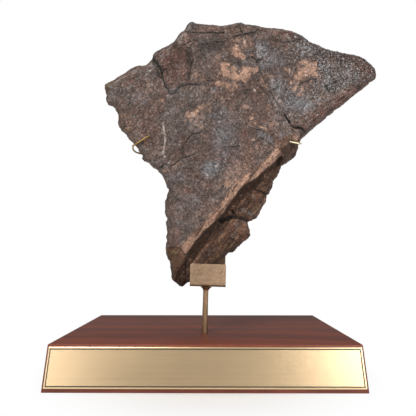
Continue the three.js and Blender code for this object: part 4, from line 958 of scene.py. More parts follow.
def bone_mesh(settings):
    """Vertices in mm, triangles and the look of every vertex"""
    relief = settings.relief
    rim = walk(OUTLINE[::-1], RIM_STEP, True)
    low_front, low_waist, low_back = [
        [tuple(p) for p in shrink(rim, inset)] for inset in (FRONT_INSET, WAIST_INSET, BACK_INSET)]
    fine_loops = [split_loop(loop, RIM_SPLITS) for loop in (low_front, rim, low_waist, low_back)]
    widest = fine_loops[1]
    along = np.roll(widest, -1, axis=0) - np.roll(widest, 1, axis=0)
    along /= np.hypot(along[:, 0], along[:, 1])[:, None]
    outward = np.stack([along[:, 1], -along[:, 0]], axis=1)
    push = 0.7 * layered_noise(widest[:, 0], 0, widest[:, 1], 5.5, 2, 151)
    push = push + 0.35 * layered_noise(widest[:, 0], 0, widest[:, 1], 2.2, 2, 152)
    front, widest, waist, back = [
        loop + outward * (relief * share * push)[:, None]
        for loop, share in zip(fine_loops, (0.75, 1, 1, 0.6))]

    feature_rows = [
        parallels(LEDGE, 0.9, (BEVEL_WIDTH, BEVEL_WIDTH - 1, 0.5, -0.1, -0.9, -1.7, -CLIFF_WIDTH)),
        parallels(FLAP, 0.9, (-0.1, FLAP_STEP / 2, FLAP_STEP, FLAP_STEP + 0.5)),
        parallels(TIP_BREAK, 0.9, (1, 0, -1, -2)),
    ] + [parallels(line, 0.8, (0, spread * 0.55, -spread * 0.55, spread, -spread))
         for _, spread, line in CRACKS]
    features = thin_out(np.concatenate(feature_rows), 0.42)
    features = well_inside(features, low_front, 1.5)
    spacing, back_spacing = settings.spacing / MM, settings.back_spacing / MM
    front_points, front_faces = fill_face(
        front, np.concatenate([features, field_points(low_front, spacing, 1.5, features)]))
    back_features = thin_out(parallels(BACK_FLAKE, 1.4, (-0.9, -0.3, 0.3, 0.9)), 0.5)
    back_features = well_inside(back_features, low_back, 2)
    back_points, back_faces = fill_face(
        back, np.concatenate([back_features, field_points(low_back, back_spacing, 2, back_features)]))

    front_y, front_look = front_surface(front_points[:, 0], front_points[:, 1], rim, relief)
    back_y, back_look = back_surface(back_points[:, 0], back_points[:, 1], rim, relief)
    count = len(widest)
    edge_y = front_y[:count]
    widest_y = np.maximum(WIDEST_Y, edge_y + WIDEST_BEHIND_FACE - 1)
    waist_y = (widest_y * 2 + back_y[:count]) / 3
    rings = [np.stack([loop[:, 0], y, loop[:, 1]], axis=1) for loop, y in (
        (front, edge_y), (widest, widest_y), (waist, waist_y), (back, back_y[:count]))]
    rows = wall_rows(rings, relief)
    front_vertices = np.stack([front_points[:, 0], front_y, front_points[:, 1]], axis=1)
    back_vertices = np.stack([back_points[:, 0], back_y, back_points[:, 1]], axis=1)
    vertices = np.concatenate([front_vertices, *rows, back_vertices])

    starts = [0] + [len(front_vertices) + count * k for k in range(len(rows) + 1)]
    here = np.arange(count)
    after = (here + 1) % count
    bands = []
    for first, second in zip(starts, starts[1:]):
        bands.append(np.stack([first + after, first + here, second + here], axis=1))
        bands.append(np.stack([first + after, second + here, second + after], axis=1))
    faces = np.concatenate([front_faces, *bands, starts[-1] + back_faces[:, ::-1]])

    wall_points = np.concatenate(rows).T
    wall = wall_look(*wall_points)
    look = {name: np.concatenate([front_look[name], wall[name], back_look[name]]) for name in wall}
    check_closed(faces)
    return vertices, faces, look


# Meshes

def new_piece(name, vertices, faces, material, node_name):
    """A mesh object at the origin, which rides on the body and stands for its CAD node"""
    mesh = bpy.data.meshes.new(name)
    mesh.from_pydata([tuple(v) for v in vertices], [], [tuple(f) for f in faces])
    mesh.polygons.foreach_set("use_smooth", [True] * len(mesh.polygons))
    mesh.update()
    return place_piece(name, mesh, material, node_name)


def place_piece(name, mesh, material, node_name):
    """Puts a finished mesh into the scene as a piece of the object"""
    piece = bpy.data.objects.new(name, mesh)
    bpy.context.scene.collection.objects.link(piece)
    mesh.materials.clear()
    mesh.materials.append(material)
    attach(piece, BODY)
    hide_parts(node_name)
    return piece


def plain_mesh(piece):
    """The evaluated mesh of an object whose modifiers or nodes are still live"""
    evaluated = piece.evaluated_get(bpy.context.evaluated_depsgraph_get())
    return bpy.data.meshes.new_from_object(evaluated)


def finished_mesh(draft, modifiers):
    """The mesh of a bmesh after the given modifiers, each a type with its settings"""
    mesh = bpy.data.meshes.new("draft")
    draft.to_mesh(mesh)
    draft.free()
    helper = bpy.data.objects.new("draft", mesh)
    bpy.context.scene.collection.objects.link(helper)
    for kind, settings in modifiers:
        modifier = helper.modifiers.new(kind.title(), kind)
        for key, value in settings.items():
            setattr(modifier, key, value)
    result = plain_mesh(helper)
    bpy.data.objects.remove(helper)
    result.polygons.foreach_set("use_smooth", [True] * len(result.polygons))
    result.set_sharp_from_angle(angle=math.radians(35))
    return result


def set_values(mesh, name, values):
    """One number for each vertex, which the material reads by name"""
    layer = mesh.attributes.new(name, "FLOAT", "POINT")
    layer.data.foreach_set("value", np.asarray(values, np.float32))


def armature_matrix():
    """Where the post and the cradle stand: at the drilled hole, leaning a little to the right"""
    return Matrix.Translation(POST_FOOT) @ Matrix.Rotation(POST_LEAN, 4, "Y")


def extrude_profile(profile, width):
    """A bmesh of a profile drawn in [y, z], extruded along X and centred on x = 0"""
    draft = bmesh.new()
    face = draft.faces.new([draft.verts.new((-width / 2, y, z)) for y, z in profile])
    made = bmesh.ops.extrude_face_region(draft, geom=[face])
    moved = [v for v in made["geom"] if isinstance(v, bmesh.types.BMVert)]
    bmesh.ops.translate(draft, verts=moved, vec=(width, 0, 0))
    bmesh.ops.recalc_face_normals(draft, faces=draft.faces)
    return draft


# Shader nodes

def add(tree, kind, inputs=None, **settings):
    """Adds a node, with its settings and with its sockets linked or set"""
    made = tree.nodes.new(kind)
    for key, value in settings.items():
        setattr(made, key, value)
    for key, value in (inputs or {}).items():
        if isinstance(value, bpy.types.NodeSocket):
            tree.links.new(value, made.inputs[key])
        else:
            made.inputs[key].default_value = value
    return made


def fed(kind, inputs, **settings):
    """The outputs of a node that is added to the tree of the sockets that feed it"""
    tree = next(value.id_data for value in inputs.values() if isinstance(value, bpy.types.NodeSocket))
    return add(tree, kind, inputs, **settings).outputs


def object_place(tree):
    return add(tree, "ShaderNodeTexCoord").outputs["Object"]


def value_of(tree, name):
    return add(tree, "ShaderNodeAttribute", attribute_name=name).outputs["Fac"]


def math_of(operation, first, second=0.0, clamp=False):
    return fed("ShaderNodeMath", {0: first, 1: second}, operation=operation, use_clamp=clamp)[0]


def times(first, second):
    return math_of("MULTIPLY", first, second)


def plus(first, second, clamp=False):
    return math_of("ADD", first, second, clamp)


def minus(first, second, clamp=False):
    return math_of("SUBTRACT", first, second, clamp)


def larger(first, second):
    return math_of("MAXIMUM", first, second)


def between(value, low, high, to_low=0.0, to_high=1.0):
    """Maps a value smoothly from one range to another and keeps it there"""
    inputs = {"Value": value, "From Min": low, "From Max": high, "To Min": to_low, "To Max": to_high}
    return fed("ShaderNodeMapRange", inputs, interpolation_type="SMOOTHSTEP")[0]


def mixed(share, first, second, blend_type="MIX"):
    """Two colours mixed, or blended in another way, each of them a socket or three numbers"""
    inputs = {0: share}
    for key, value in ((6, first), (7, second)):
        inputs[key] = value if isinstance(value, bpy.types.NodeSocket) else (*value, 1)
    return fed("ShaderNodeMix", inputs, data_type="RGBA", blend_type=blend_type)[2]


def noise_of(place, scale, detail, roughness, distortion=0.0):
    inputs = {"Vector": place, "Scale": scale, "Detail": detail, "Roughness": roughness,
              "Distortion": distortion}
    return fed("ShaderNodeTexNoise", inputs)[0]


def wobble_of(place, scale):
    """Three noises at once, for bending what is drawn on a place"""
    return fed("ShaderNodeTexNoise", {"Vector": place, "Scale": scale, "Detail": 2.0})["Color"]


def vectors(operation, *values):
    return fed("ShaderNodeVectorMath", dict(enumerate(values)), operation=operation)[0]


def stretched(place, scale):
    return fed("ShaderNodeMapping", {"Vector": place, "Scale": scale})[0]


def drawn_out(place, angle, length):
    """Coordinates stretched along one direction of the face, for marks that all run that way"""
    inputs = {"Vector": place, "Rotation": (0, angle, 0), "Scale": (1, 1, length)}
    return fed("ShaderNodeMapping", inputs, vector_type="TEXTURE")[0]


def ramp_of(value, *stops):
    """A colour ramp with stops of (place, colour)"""
    made = add(value.id_data, "ShaderNodeValToRGB", {0: value})
    elements = made.color_ramp.elements
    while len(elements) < len(stops):
        elements.new(0.5)
    for element, (place, color) in zip(elements, stops):
        element.position = place
        element.color = (*color, 1)
    return made.outputs[0]


def shade(color, factor):
    """A colour made darker or lighter"""
    return tuple(min(1, channel * factor) for channel in color)


def toned(value, color, *stops):
    """A ramp of one colour from dark to light, with stops of (place, factor)"""
    return ramp_of(value, *((place, shade(color, factor)) for place, factor in stops))


def new_group(name, numbers):
    """A shader group that takes a place and the named numbers, and the sockets they come in by"""
    group = bpy.data.node_groups.new(name, "ShaderNodeTree")
    group.interface.new_socket("Place", in_out="INPUT", socket_type="NodeSocketVector")
    for socket, default in numbers.items():
        made = group.interface.new_socket(socket, in_out="INPUT", socket_type="NodeSocketFloat")
        made.default_value = default
    return group, group.nodes.new("NodeGroupInput").outputs


def finish_group(group, results):
    """Gives a group its named outputs"""
    for socket in results:
        group.interface.new_socket(socket, in_out="OUTPUT", socket_type="NodeSocketFloat")
    add(group, "NodeGroupOutput", results)
    return group


def grain_group(name):
    """Noise of three sizes added up, from 0 to 1, for the mottled tone of a surface"""
    group, given = new_group(name, {"Coarse": 40.0, "Medium": 180.0, "Fine": 600.0, "Contrast": 1.0})
    coarse = noise_of(given["Place"], given["Coarse"], 3, 0.6, 0.4)
    medium = noise_of(given["Place"], given["Medium"], 3, 0.65, 0.3)
    fine = noise_of(given["Place"], given["Fine"], 2, 0.6)
    total = plus(plus(times(coarse, 0.28), times(medium, 0.34)), times(fine, 0.38))
    tone = plus(times(minus(total, 0.5), given["Contrast"]), 0.5, clamp=True)
    return finish_group(group, {"Tone": tone, "Fine tone": fine})


def speckle_group(name):
    """Small separate spots"""
    group, given = new_group(name, {"Scale": 500.0, "Start": 0.6, "Full": 0.7})
    spots = noise_of(given["Place"], given["Scale"], 2, 0.55)
    return finish_group(group, {"Mask": between(spots, given["Start"], given["Full"])})


def fray_group(name):
    """Frays the soft edge of a painted mask with noise"""
    group, given = new_group(name, {"Mask": 0.0, "Scale": 300.0, "Amount": 0.9})
    noise = noise_of(given["Place"], given["Scale"], 4, 0.65, 0.5)
    shift = times(times(minus(noise, 0.5), given["Amount"]), between(given["Mask"], 0.0, 0.12))
    return finish_group(group, {"Mask": between(plus(given["Mask"], shift), 0.12, 0.8)})


def crease_group(name):
    """Thin winding lines, where noise crosses its middle value"""
    group, given = new_group(name, {"Scale": 100.0, "Width": 0.02})
    noise = noise_of(given["Place"], given["Scale"], 3, 0.55, 0.7)
    reach = math_of("ABSOLUTE", minus(noise, 0.5))
    return finish_group(group, {"Mask": between(reach, 0.0, given["Width"], 1.0, 0.0)})


def brushing_group(name):
    """Fine parallel scratches along the object's X axis"""
    group, given = new_group(name, {"Fineness": 2600.0, "Length": 22.0})
    scale = fed("ShaderNodeCombineXYZ", {0: given["Length"], 1: given["Fineness"], 2: given["Fineness"]})[0]
    drawn = vectors("MULTIPLY", given["Place"], scale)
    lines = noise_of(drawn, 1.0, 3, 0.7)
    bands = noise_of(vectors("MULTIPLY", drawn, (0.4, 0.16, 0.16)), 1.0, 2, 0.6)
    return finish_group(group, {"Tone": plus(times(lines, 0.6), times(bands, 0.4)), "Height": lines})


def shared(name, maker, **inputs):
    """The outputs of a shader group, which is built the first time that it is asked for"""
    group = bpy.data.node_groups.get(name) or maker(name)
    return fed("ShaderNodeGroup", inputs, node_tree=group)


def grain_of(place, coarse, medium, fine, contrast):
    return shared("Layered grain", grain_group, Place=place, Coarse=coarse, Medium=medium, Fine=fine,
                  Contrast=contrast)


def speckles_of(place, scale, start, full):
    return shared("Speckles", speckle_group, Place=place, Scale=scale, Start=start, Full=full)[0]


def frayed(place, mask, scale, amount):
    return shared("Frayed edge", fray_group, Place=place, Mask=mask, Scale=scale, Amount=amount)[0]


def creases_of(place, scale, width):
    return shared("Creases", crease_group, Place=place, Scale=scale, Width=width)[0]


def brushed(place, fineness, length):
    return shared("Brushed lines", brushing_group, Place=place, Fineness=fineness, Length=length)


def new_material(name):
    """An empty node material with its Principled shader"""
    material = bpy.data.materials.new(name)
    material.use_nodes = True
    return material, material.node_tree, material.node_tree.nodes["Principled BSDF"]


def finish_shader(tree, shader, color, roughness, height, distance, **plain):
    """Feeds the shader's changing sockets and sets its plain ones"""
    tree.links.new(color, shader.inputs["Base Color"])
    tree.links.new(roughness, shader.inputs["Roughness"])
    bump = fed("ShaderNodeBump", {"Height": height, "Distance": distance})
    tree.links.new(bump[0], shader.inputs["Normal"])
    for key, value in plain.items():
        shader.inputs[key.replace("_", " ").title()].default_value = value


def bone_material(settings):
    """Mineralised bone: mottled brown-grey, with tan breaks, rust, blue-grey skin that is partly painted
    sheen, painted glints, and painted shade in its hollows
    """
    material, tree, shader = new_material("fossil bone")
    place = object_place(tree)
    mottle = grain_of(place, 55, 260, 760, 3.1)
    tone = mottle["Tone"]
    thin = between(noise_of(place, 420, 3, 0.7), 0.36, 0.6)

    def tinted(color, low=0.4, high=1.8):
        return toned(tone, color, (0.05, low), (0.5, 1), (0.95, high))

    def laid_on(under, name, over, share, scale, amount=0.9):
        mask = frayed(place, value_of(tree, name), scale, amount)
        return mixed(times(mask, share), under, over), mask

    # Bare bone, a little warmer in some places than in others
    color = ramp_of(tone, (0.02, settings.dark), (0.5, settings.middle), (0.98, settings.light))
    warm = mixed(1.0, color, (1.16, 0.95, 0.84), "MULTIPLY")
    cool = mixed(1.0, color, (0.95, 0.97, 1.0), "MULTIPLY")
    color = mixed(between(noise_of(place, 34, 3, 0.6), 0.38, 0.62), warm, cool)

    # Stains, breaks and skin, where the mesh says that they are, with painted shade in the dark layer,
    # painted sheen on the blue-grey skin and painted glints among the pale flecks
    color, _ = laid_on(color, "rust", tinted(settings.rust), 0.85, 210)
    color, _ = laid_on(color, "earth", tinted(settings.earth, 0.28, 2.1), 0.9, 180)
    color, _ = laid_on(color, "olive", tinted(settings.olive, 0.4, 1.9), 0.85, 260)
    # The dark layer, partly painted shade under the ledge and beside the flap
    dim = mixed(value_of(tree, "earth"), shade(settings.dark, 1.15), srgb(58, 37, 24))
    mottled = ramp_of(tone, (0.1, (0.5,) * 3), (0.5, (1,) * 3), (0.9, (2.2,) * 3))
    color, gloom = laid_on(color, "gloom", mixed(1.0, dim, mottled, "MULTIPLY"), 0.75, 240)
    # The blue-grey skin, partly painted sheen
    skin = tinted(settings.slate, 0.4, 1.7)
    color, slate = laid_on(color, "slate", skin, between(thin, 0, 1, 0.45, 0.85), 330)
    soft_tan = between(value_of(tree, "tan"), 0.0, 0.9, 0.0, 0.5)
    color = mixed(soft_tan, color, tinted(shade(settings.tan, 0.7), 0.4, 1.7))
    clear_tan = tinted(settings.tan, 0.45, 1.35)
    color, tan = laid_on(color, "tan", clear_tan, between(thin, 0, 1, 0.35, 0.95), 330, 1.5)
    # Pale flecks and scratches, with painted glints among them
    color, _ = laid_on(color, "pale", srgb(214, 198, 188), 0.75, 520, 0.8)

    # The pebbled wing: clusters of small domes with painted glints on them and painted shade in the seams
    # between them
    cluster = between(noise_of(place, 95, 3, 0.6), 0.38, 0.6, 0.25, 1.0)
    pebbled = times(value_of(tree, "pebbled"), times(cluster, minus(1.0, tan)))
    bent = vectors("MULTIPLY_ADD", wobble_of(place, 260.0), (0.0035,) * 3, place)
    cells = {"Vector": bent, "Scale": 270.0}
    lit = between(fed("ShaderNodeTexVoronoi", cells)["Color"], 0.5, 0.8)
    dome = between(fed("ShaderNodeTexVoronoi", cells, feature="DISTANCE_TO_EDGE")[0], 0.02, 0.22)
    seam = times(minus(1.0, dome), pebbled)
    glint = times(times(lit, times(dome, pebbled)), between(thin, 0, 1, 0.35, 0.85))
    color = mixed(glint, color, srgb(158, 163, 168))
    color = mixed(times(seam, 0.5), color, shade(settings.dark, 0.8))

    # Specks, creases and strokes all over, then the painted shade of the cracks, pits and hollows
    dark_spots = times(speckles_of(place, 430, 0.56, 0.68), minus(1.0, times(tan, 0.7)))
    color = mixed(times(dark_spots, 0.6), color, shade(settings.dark, 0.7))
    area = between(noise_of(place, 26, 2, 0.5), 0.44, 0.56)
    strokes = plus(times(creases_of(drawn_out(place, 0.75, 4), 360, 0.05), area),
                   times(creases_of(drawn_out(place, -0.5, 3), 300, 0.05), minus(1.0, area)))
    creases = larger(creases_of(place, 75, 0.012), times(strokes, 0.85))
    color = mixed(times(creases, 0.55), color, shade(settings.dark, 0.55))
    color = mixed(times(speckles_of(place, 560, 0.6, 0.74), 0.6), color, settings.light)
    hollow = value_of(tree, "hollow")
    hollow = frayed(place, larger(between(hollow, 0.4, 0.95), times(hollow, 0.55)), 500, 0.4)
    color = mixed(times(hollow, 0.88), color, srgb(27, 18, 12))

    shine = plus(times(slate, 0.5), value_of(tree, "pebbled"), clamp=True)
    roughness = plus(between(mottle["Fine tone"], 0.3, 0.7, 0.36, 0.6), times(tan, 0.12))
    roughness = minus(roughness, times(shine, 0.12))
    coat = times(minus(1.0, value_of(tree, "broken"), clamp=True), 0.4)
    coat = minus(plus(coat, times(shine, 0.2)), times(gloom, 0.5), clamp=True)
    tree.links.new(coat, shader.inputs["Coat Weight"])
    height = plus(times(tone, 0.8), times(noise_of(place, 1100, 3, 0.65), 0.6))
    for mark, depth in ((dark_spots, 0.4), (creases, 0.45), (seam, 0.7)):
        height = minus(height, times(mark, depth))
    finish_shader(tree, shader, color, roughness, height, 0.0018, coat_roughness=0.24)
    return material


def strip_material(settings):
    """Dull brushed brass of the cradle, finely scratched, with painted shade on its inner faces"""
    material, tree, shader = new_material("cradle brass")
    place = object_place(tree)
    lines = brushed(place, 620, 90)
    mix = plus(times(lines["Tone"], 0.55), times(grain_of(place, 60, 260, 900, 1.5)["Tone"], 0.45))
    color = toned(mix, settings.strip, (0.36, 0.6), (0.5, 1), (0.66, 1.5))
    color = mixed(times(speckles_of(place, 520, 0.58, 0.68), 0.45), color, srgb(190, 168, 140))
    color = mixed(times(speckles_of(place, 330, 0.56, 0.68), 0.35), color, srgb(120, 92, 62))
    # Painted shade: the inner faces of the two plates, which the bone keeps in shadow, are darkened
    depth = fed("ShaderNodeSeparateXYZ", {0: place})[1]
    front, back = CRADLE_FRONT_Y + CRADLE_THICK, CRADLE_BACK_Y - CRADLE_THICK
    inside = times(between(depth, front - 0.1 * MM, front + 0.9 * MM),
                   between(depth, back + 0.2 * MM, back + 0.6 * MM, 1, 0))
    color = mixed(times(inside, 0.85), color, srgb(60, 45, 36))
    # The rounded edges are made lighter: rubbed brass and a painted highlight
    color = mixed(times(value_of(tree, "edge"), 0.6), color, srgb(226, 202, 170))
    roughness = between(mix, 0.3, 0.7, 0.36, 0.52)
    finish_shader(tree, shader, color, roughness, lines["Height"], 0.00012, metallic=0.9)
    return material


def rod_material(settings):
    """Browned brass of the post: tan below, darker and redder towards the solder"""
    material, tree, shader = new_material("post brass")
    place = object_place(tree)
    tone = grain_of(place, 110, 420, 1300, 1.8)["Tone"]
    color = toned(tone, settings.rod, (0.2, 0.6), (0.5, 1), (0.8, 1.35))
    browned = ramp_of(tone, (0.2, srgb(48, 28, 18)), (0.6, srgb(104, 62, 40)), (0.9, srgb(136, 90, 60)))
    color = mixed(frayed(place, value_of(tree, "heat"), 260, 0.6), color, browned)
    roughness = between(tone, 0.3, 0.7, 0.32, 0.5)
    finish_shader(tree, shader, color, roughness, tone, 0.00015, metallic=0.9)
    return material


def wire_material(name, color):
    """Brass wire with a brown bloom in places"""
    material, tree, shader = new_material(name)
    tone = grain_of(object_place(tree), 90, 380, 1200, 1.7)["Tone"]
    color = toned(tone, color, (0.15, 0.55), (0.5, 1), (0.85, 1.5))
    roughness = between(tone, 0.3, 0.7, 0.3, 0.42)
    finish_shader(tree, shader, color, roughness, tone, 0.00008, metallic=0.9)
    return material


def plaque_material(settings):
    """Brushed brass plate with a dark line engraved round its edge"""
    material, tree, shader = new_material("plaque brass")
    place = object_place(tree)
    lines = brushed(place, 3200, 14)
    mix = plus(times(lines["Tone"], 0.75), times(grain_of(place, 24, 120, 900, 1.2)["Tone"], 0.25))
    engraved = value_of(tree, "engraved")
    color = toned(mix, settings.plate, (0.2, 0.9), (0.5, 1), (0.8, 1.1))
    color = mixed(engraved, color, srgb(66, 66, 50))
    roughness = plus(between(mix, 0.3, 0.7, 0.29, 0.33), times(engraved, 0.3))
    tree.links.new(minus(1.0, times(engraved, 0.8)), shader.inputs["Metallic"])
    finish_shader(tree, shader, color, roughness, lines["Height"], 0.00002)
    return material


def wood_material(settings):
    """Stained hardwood with straight grain along X and a satin coat"""
    material, tree, shader = new_material("stained wood")
    place = object_place(tree)
    wobble = wobble_of(stretched(place, (2.5, 9, 9)), 1.0)
    bent = vectors("MULTIPLY_ADD", place, wobble, (0, 0.05, 0.05))
    growth = noise_of(stretched(bent, (0.9, 85, 50)), 1.0, 5, 0.6)
    fibre = noise_of(stretched(place, (8, 700, 900)), 1.0, 3, 0.6)
    pore = between(noise_of(stretched(place, (40, 1700, 1700)), 1.0, 2, 0.5), 0.6, 0.7)
    grain = plus(times(growth, 0.82), times(fibre, 0.18))
    color = ramp_of(grain, (0.34, settings.dark), (0.66, settings.light))
    color = mixed(times(pore, 0.3), color, srgb(40, 16, 10))
    blotch = grain_of(place, 14, 60, 400, 1.0)["Tone"]
    blotched = ramp_of(blotch, (0.3, (0.7, 0.62, 0.6)), (0.7, (1.3, 1.2, 1.15)))
    color = mixed(0.5, color, mixed(1.0, color, blotched, "MULTIPLY"))
    worn = times(value_of(tree, "edge"), speckles_of(place, 240, 0.5, 0.62))
    color = mixed(times(worn, 0.25), color, srgb(150, 96, 74))
    roughness = between(grain, 0.3, 0.7, 0.36, 0.5)
    shader.inputs["Specular IOR Level"].default_value = 0.3
    finish_shader(tree, shader, color, roughness, minus(times(fibre, 0.5), pore), 0.00008,
                  coat_weight=0.08, coat_roughness=0.25)
    return material


def floor_material(color):
    """A pale floor that brightens into the white surroundings away from the stand"""
    material, tree, shader = new_material("pale floor")
    shader.inputs["Roughness"].default_value = 0.9
    shader.inputs["Specular IOR Level"].default_value = 0.1
    place = object_place(tree)
    tint = toned(noise_of(place, 8, 3, 0.6), color, (0.3, 0.985), (0.7, 1))
    tree.links.new(tint, shader.inputs["Base Color"])
    far = fed("ShaderNodeVectorMath", {0: place}, operation="LENGTH")["Value"]
    glow = add(tree, "ShaderNodeEmission", {"Color": (1, 1, 1, 1), "Strength": 1.0})
    both = fed("ShaderNodeMixShader", {0: between(far, 0.06, 0.2), 1: shader.outputs[0], 2: glow.outputs[0]})
    tree.links.new(both[0], tree.nodes["Material Output"].inputs["Surface"])
    return material


# Operators

class FOSSIL_OT_bone(bpy.types.Operator):
    """Makes the plate of bone with its ledge, flap, cracks and broken edges"""
    bl_idname = "fossil.bone"
    bl_label = "Bone"

    def execute(self, context):
        settings = context.scene.fossil_bone
        vertices, faces, look = bone_mesh(settings)
        piece = new_piece(
            "bone_plate", vertices * MM, faces, bone_material(settings), "frill_fragment")
        for name, values in look.items():
            set_values(piece.data, name, values)
        return {"FINISHED"}


def on_edges(mesh, limit):
    """1 at vertices within a rounded edge, whose faces are all smaller than the limit, and 0 elsewhere"""
    largest = np.zeros(len(mesh.vertices))
    for face in mesh.polygons:
        corners = list(face.vertices)
        largest[corners] = np.maximum(largest[corners], face.area)
    return largest < limit


def bend(y, z, radius, from_degrees, to_degrees):
    """Quarter turn of points between two edges of the bent strip"""
    steps = 6
    angles = [math.radians(from_degrees + (to_degrees - from_degrees) * k / steps) for k in range(steps + 1)]
    return [(y + radius * math.cos(a), z + radius * math.sin(a)) for a in angles]


class FOSSIL_OT_cradle(bpy.types.Operator):
    """Bends the brass strip that holds the foot of the bone"""
    bl_idname = "fossil.cradle"
    bl_label = "Cradle"

    def execute(self, context):
        front, back = CRADLE_FRONT_Y - POST_FOOT.y, CRADLE_BACK_Y - POST_FOOT.y
        bottom, outer = CRADLE_BOTTOM, CRADLE_BEND
        inner = CRADLE_BEND - CRADLE_THICK
        profile = [
            (front, bottom + FRONT_PLATE_HEIGHT),
            *bend(front + outer, bottom + outer, outer, 180, 270),
            *bend(back - outer, bottom + outer, outer, 270, 360),
            (back, bottom + BACK_PLATE_HEIGHT), (back - CRADLE_THICK, bottom + BACK_PLATE_HEIGHT),
            *bend(back - outer, bottom + outer, inner, 360, 270),
            *bend(front + outer, bottom + outer, inner, 270, 180),
            (front + CRADLE_THICK, bottom + FRONT_PLATE_HEIGHT),
        ]
        draft = extrude_profile(profile, CRADLE_WIDTH)
        # The upper corners of both plates are the edges that run along Y there
        corners = []
        for edge in draft.edges:
            start, end = (vertex.co for vertex in edge.verts)
            along_y = abs(start.x - end.x) < 1e-6 and abs(start.z - end.z) < 1e-6
            if along_y and start.z > bottom + FRONT_PLATE_HEIGHT * 0.9:
                corners.append(edge)
        bmesh.ops.bevel(draft, geom=corners, offset=CRADLE_CORNER, segments=4, profile=0.5, affect="EDGES")
        bmesh.ops.translate(draft, verts=draft.verts, vec=(CRADLE_OFFSET, 0, 0))
        bmesh.ops.transform(draft, matrix=armature_matrix(), verts=draft.verts)
        rounding = {"width": CRADLE_ROUNDING, "segments": 3, "limit_method": "ANGLE",
                    "angle_limit": math.radians(40)}
        mesh = finished_mesh(draft, [("BEVEL", rounding)])
        set_values(mesh, "edge", on_edges(mesh, CRADLE_EDGE_FACE))
        material = strip_material(context.scene.fossil_metal)
        place_piece("cradle_strip", mesh, material, "cradle")
        return {"FINISHED"}


class FOSSIL_OT_post(bpy.types.Operator):
    """Turns the round post with its collar of solder under the cradle"""
    bl_idname = "fossil.post"
    bl_label = "Post"

    def execute(self, context):
        top = CRADLE_BOTTOM - POST_BELOW_CRADLE
        neck = top - FLARE_HEIGHT
        profile = [
            (POST_FOOT_RADIUS - POST_CHAMFER, -POST_SUNK), (POST_FOOT_RADIUS, -POST_SUNK + POST_CHAMFER)]
        steps = 26
        for k in range(steps + 1):
            share = k / steps
            radius = POST_FOOT_RADIUS + (POST_TOP_RADIUS - POST_FOOT_RADIUS) * min(1, share / 0.75)
            profile.append((radius, neck * share))
        for share in (0.2, 0.4, 0.56, 0.7, 0.82, 0.91, 0.97, 1.0):
            radius = POST_TOP_RADIUS + (FLARE_RADIUS - POST_TOP_RADIUS) * share ** 2.2
            profile.append((radius, neck + FLARE_HEIGHT * share))
        sides = 48
        vertices = [(0, 0, -POST_SUNK)]
        for radius, height in profile:
            for k in range(sides):
                turn = 2 * math.pi * k / sides
                flare = max(0.0, (height - neck) / FLARE_HEIGHT)
                lumpy = 1 + 0.1 * flare * math.sin(3 * turn + 1) + 0.05 * flare * math.sin(7 * turn)
                lumpy += 0.006 * float(soft_noise(np.array(turn * 3), np.array(height * 900), 0, 1, 161))
                vertices.append((radius * lumpy * math.cos(turn), radius * lumpy * math.sin(turn), height))
        vertices.append((0, 0, top))
        last = len(vertices) - 1
        faces = []
        for ring in range(len(profile) - 1):
            for k in range(sides):
                a, b = 1 + ring * sides + k, 1 + ring * sides + (k + 1) % sides
                faces.append((a, b, b + sides, a + sides))
        faces += [(0, 1 + (k + 1) % sides, 1 + k) for k in range(sides)]
        faces += [(last, last - sides + k, last - sides + (k + 1) % sides) for k in range(sides)]
        matrix = armature_matrix()
        placed = [matrix @ Vector(v) for v in vertices]
        piece = new_piece("post_rod", placed, faces, rod_material(context.scene.fossil_metal),
                          "post")
        heights = np.array([v[2] for v in vertices])
        set_values(piece.data, "heat", smoothstep(neck * 0.35, neck * 0.95, heights))
        piece.data.set_sharp_from_angle(angle=math.radians(50))
        return {"FINISHED"}


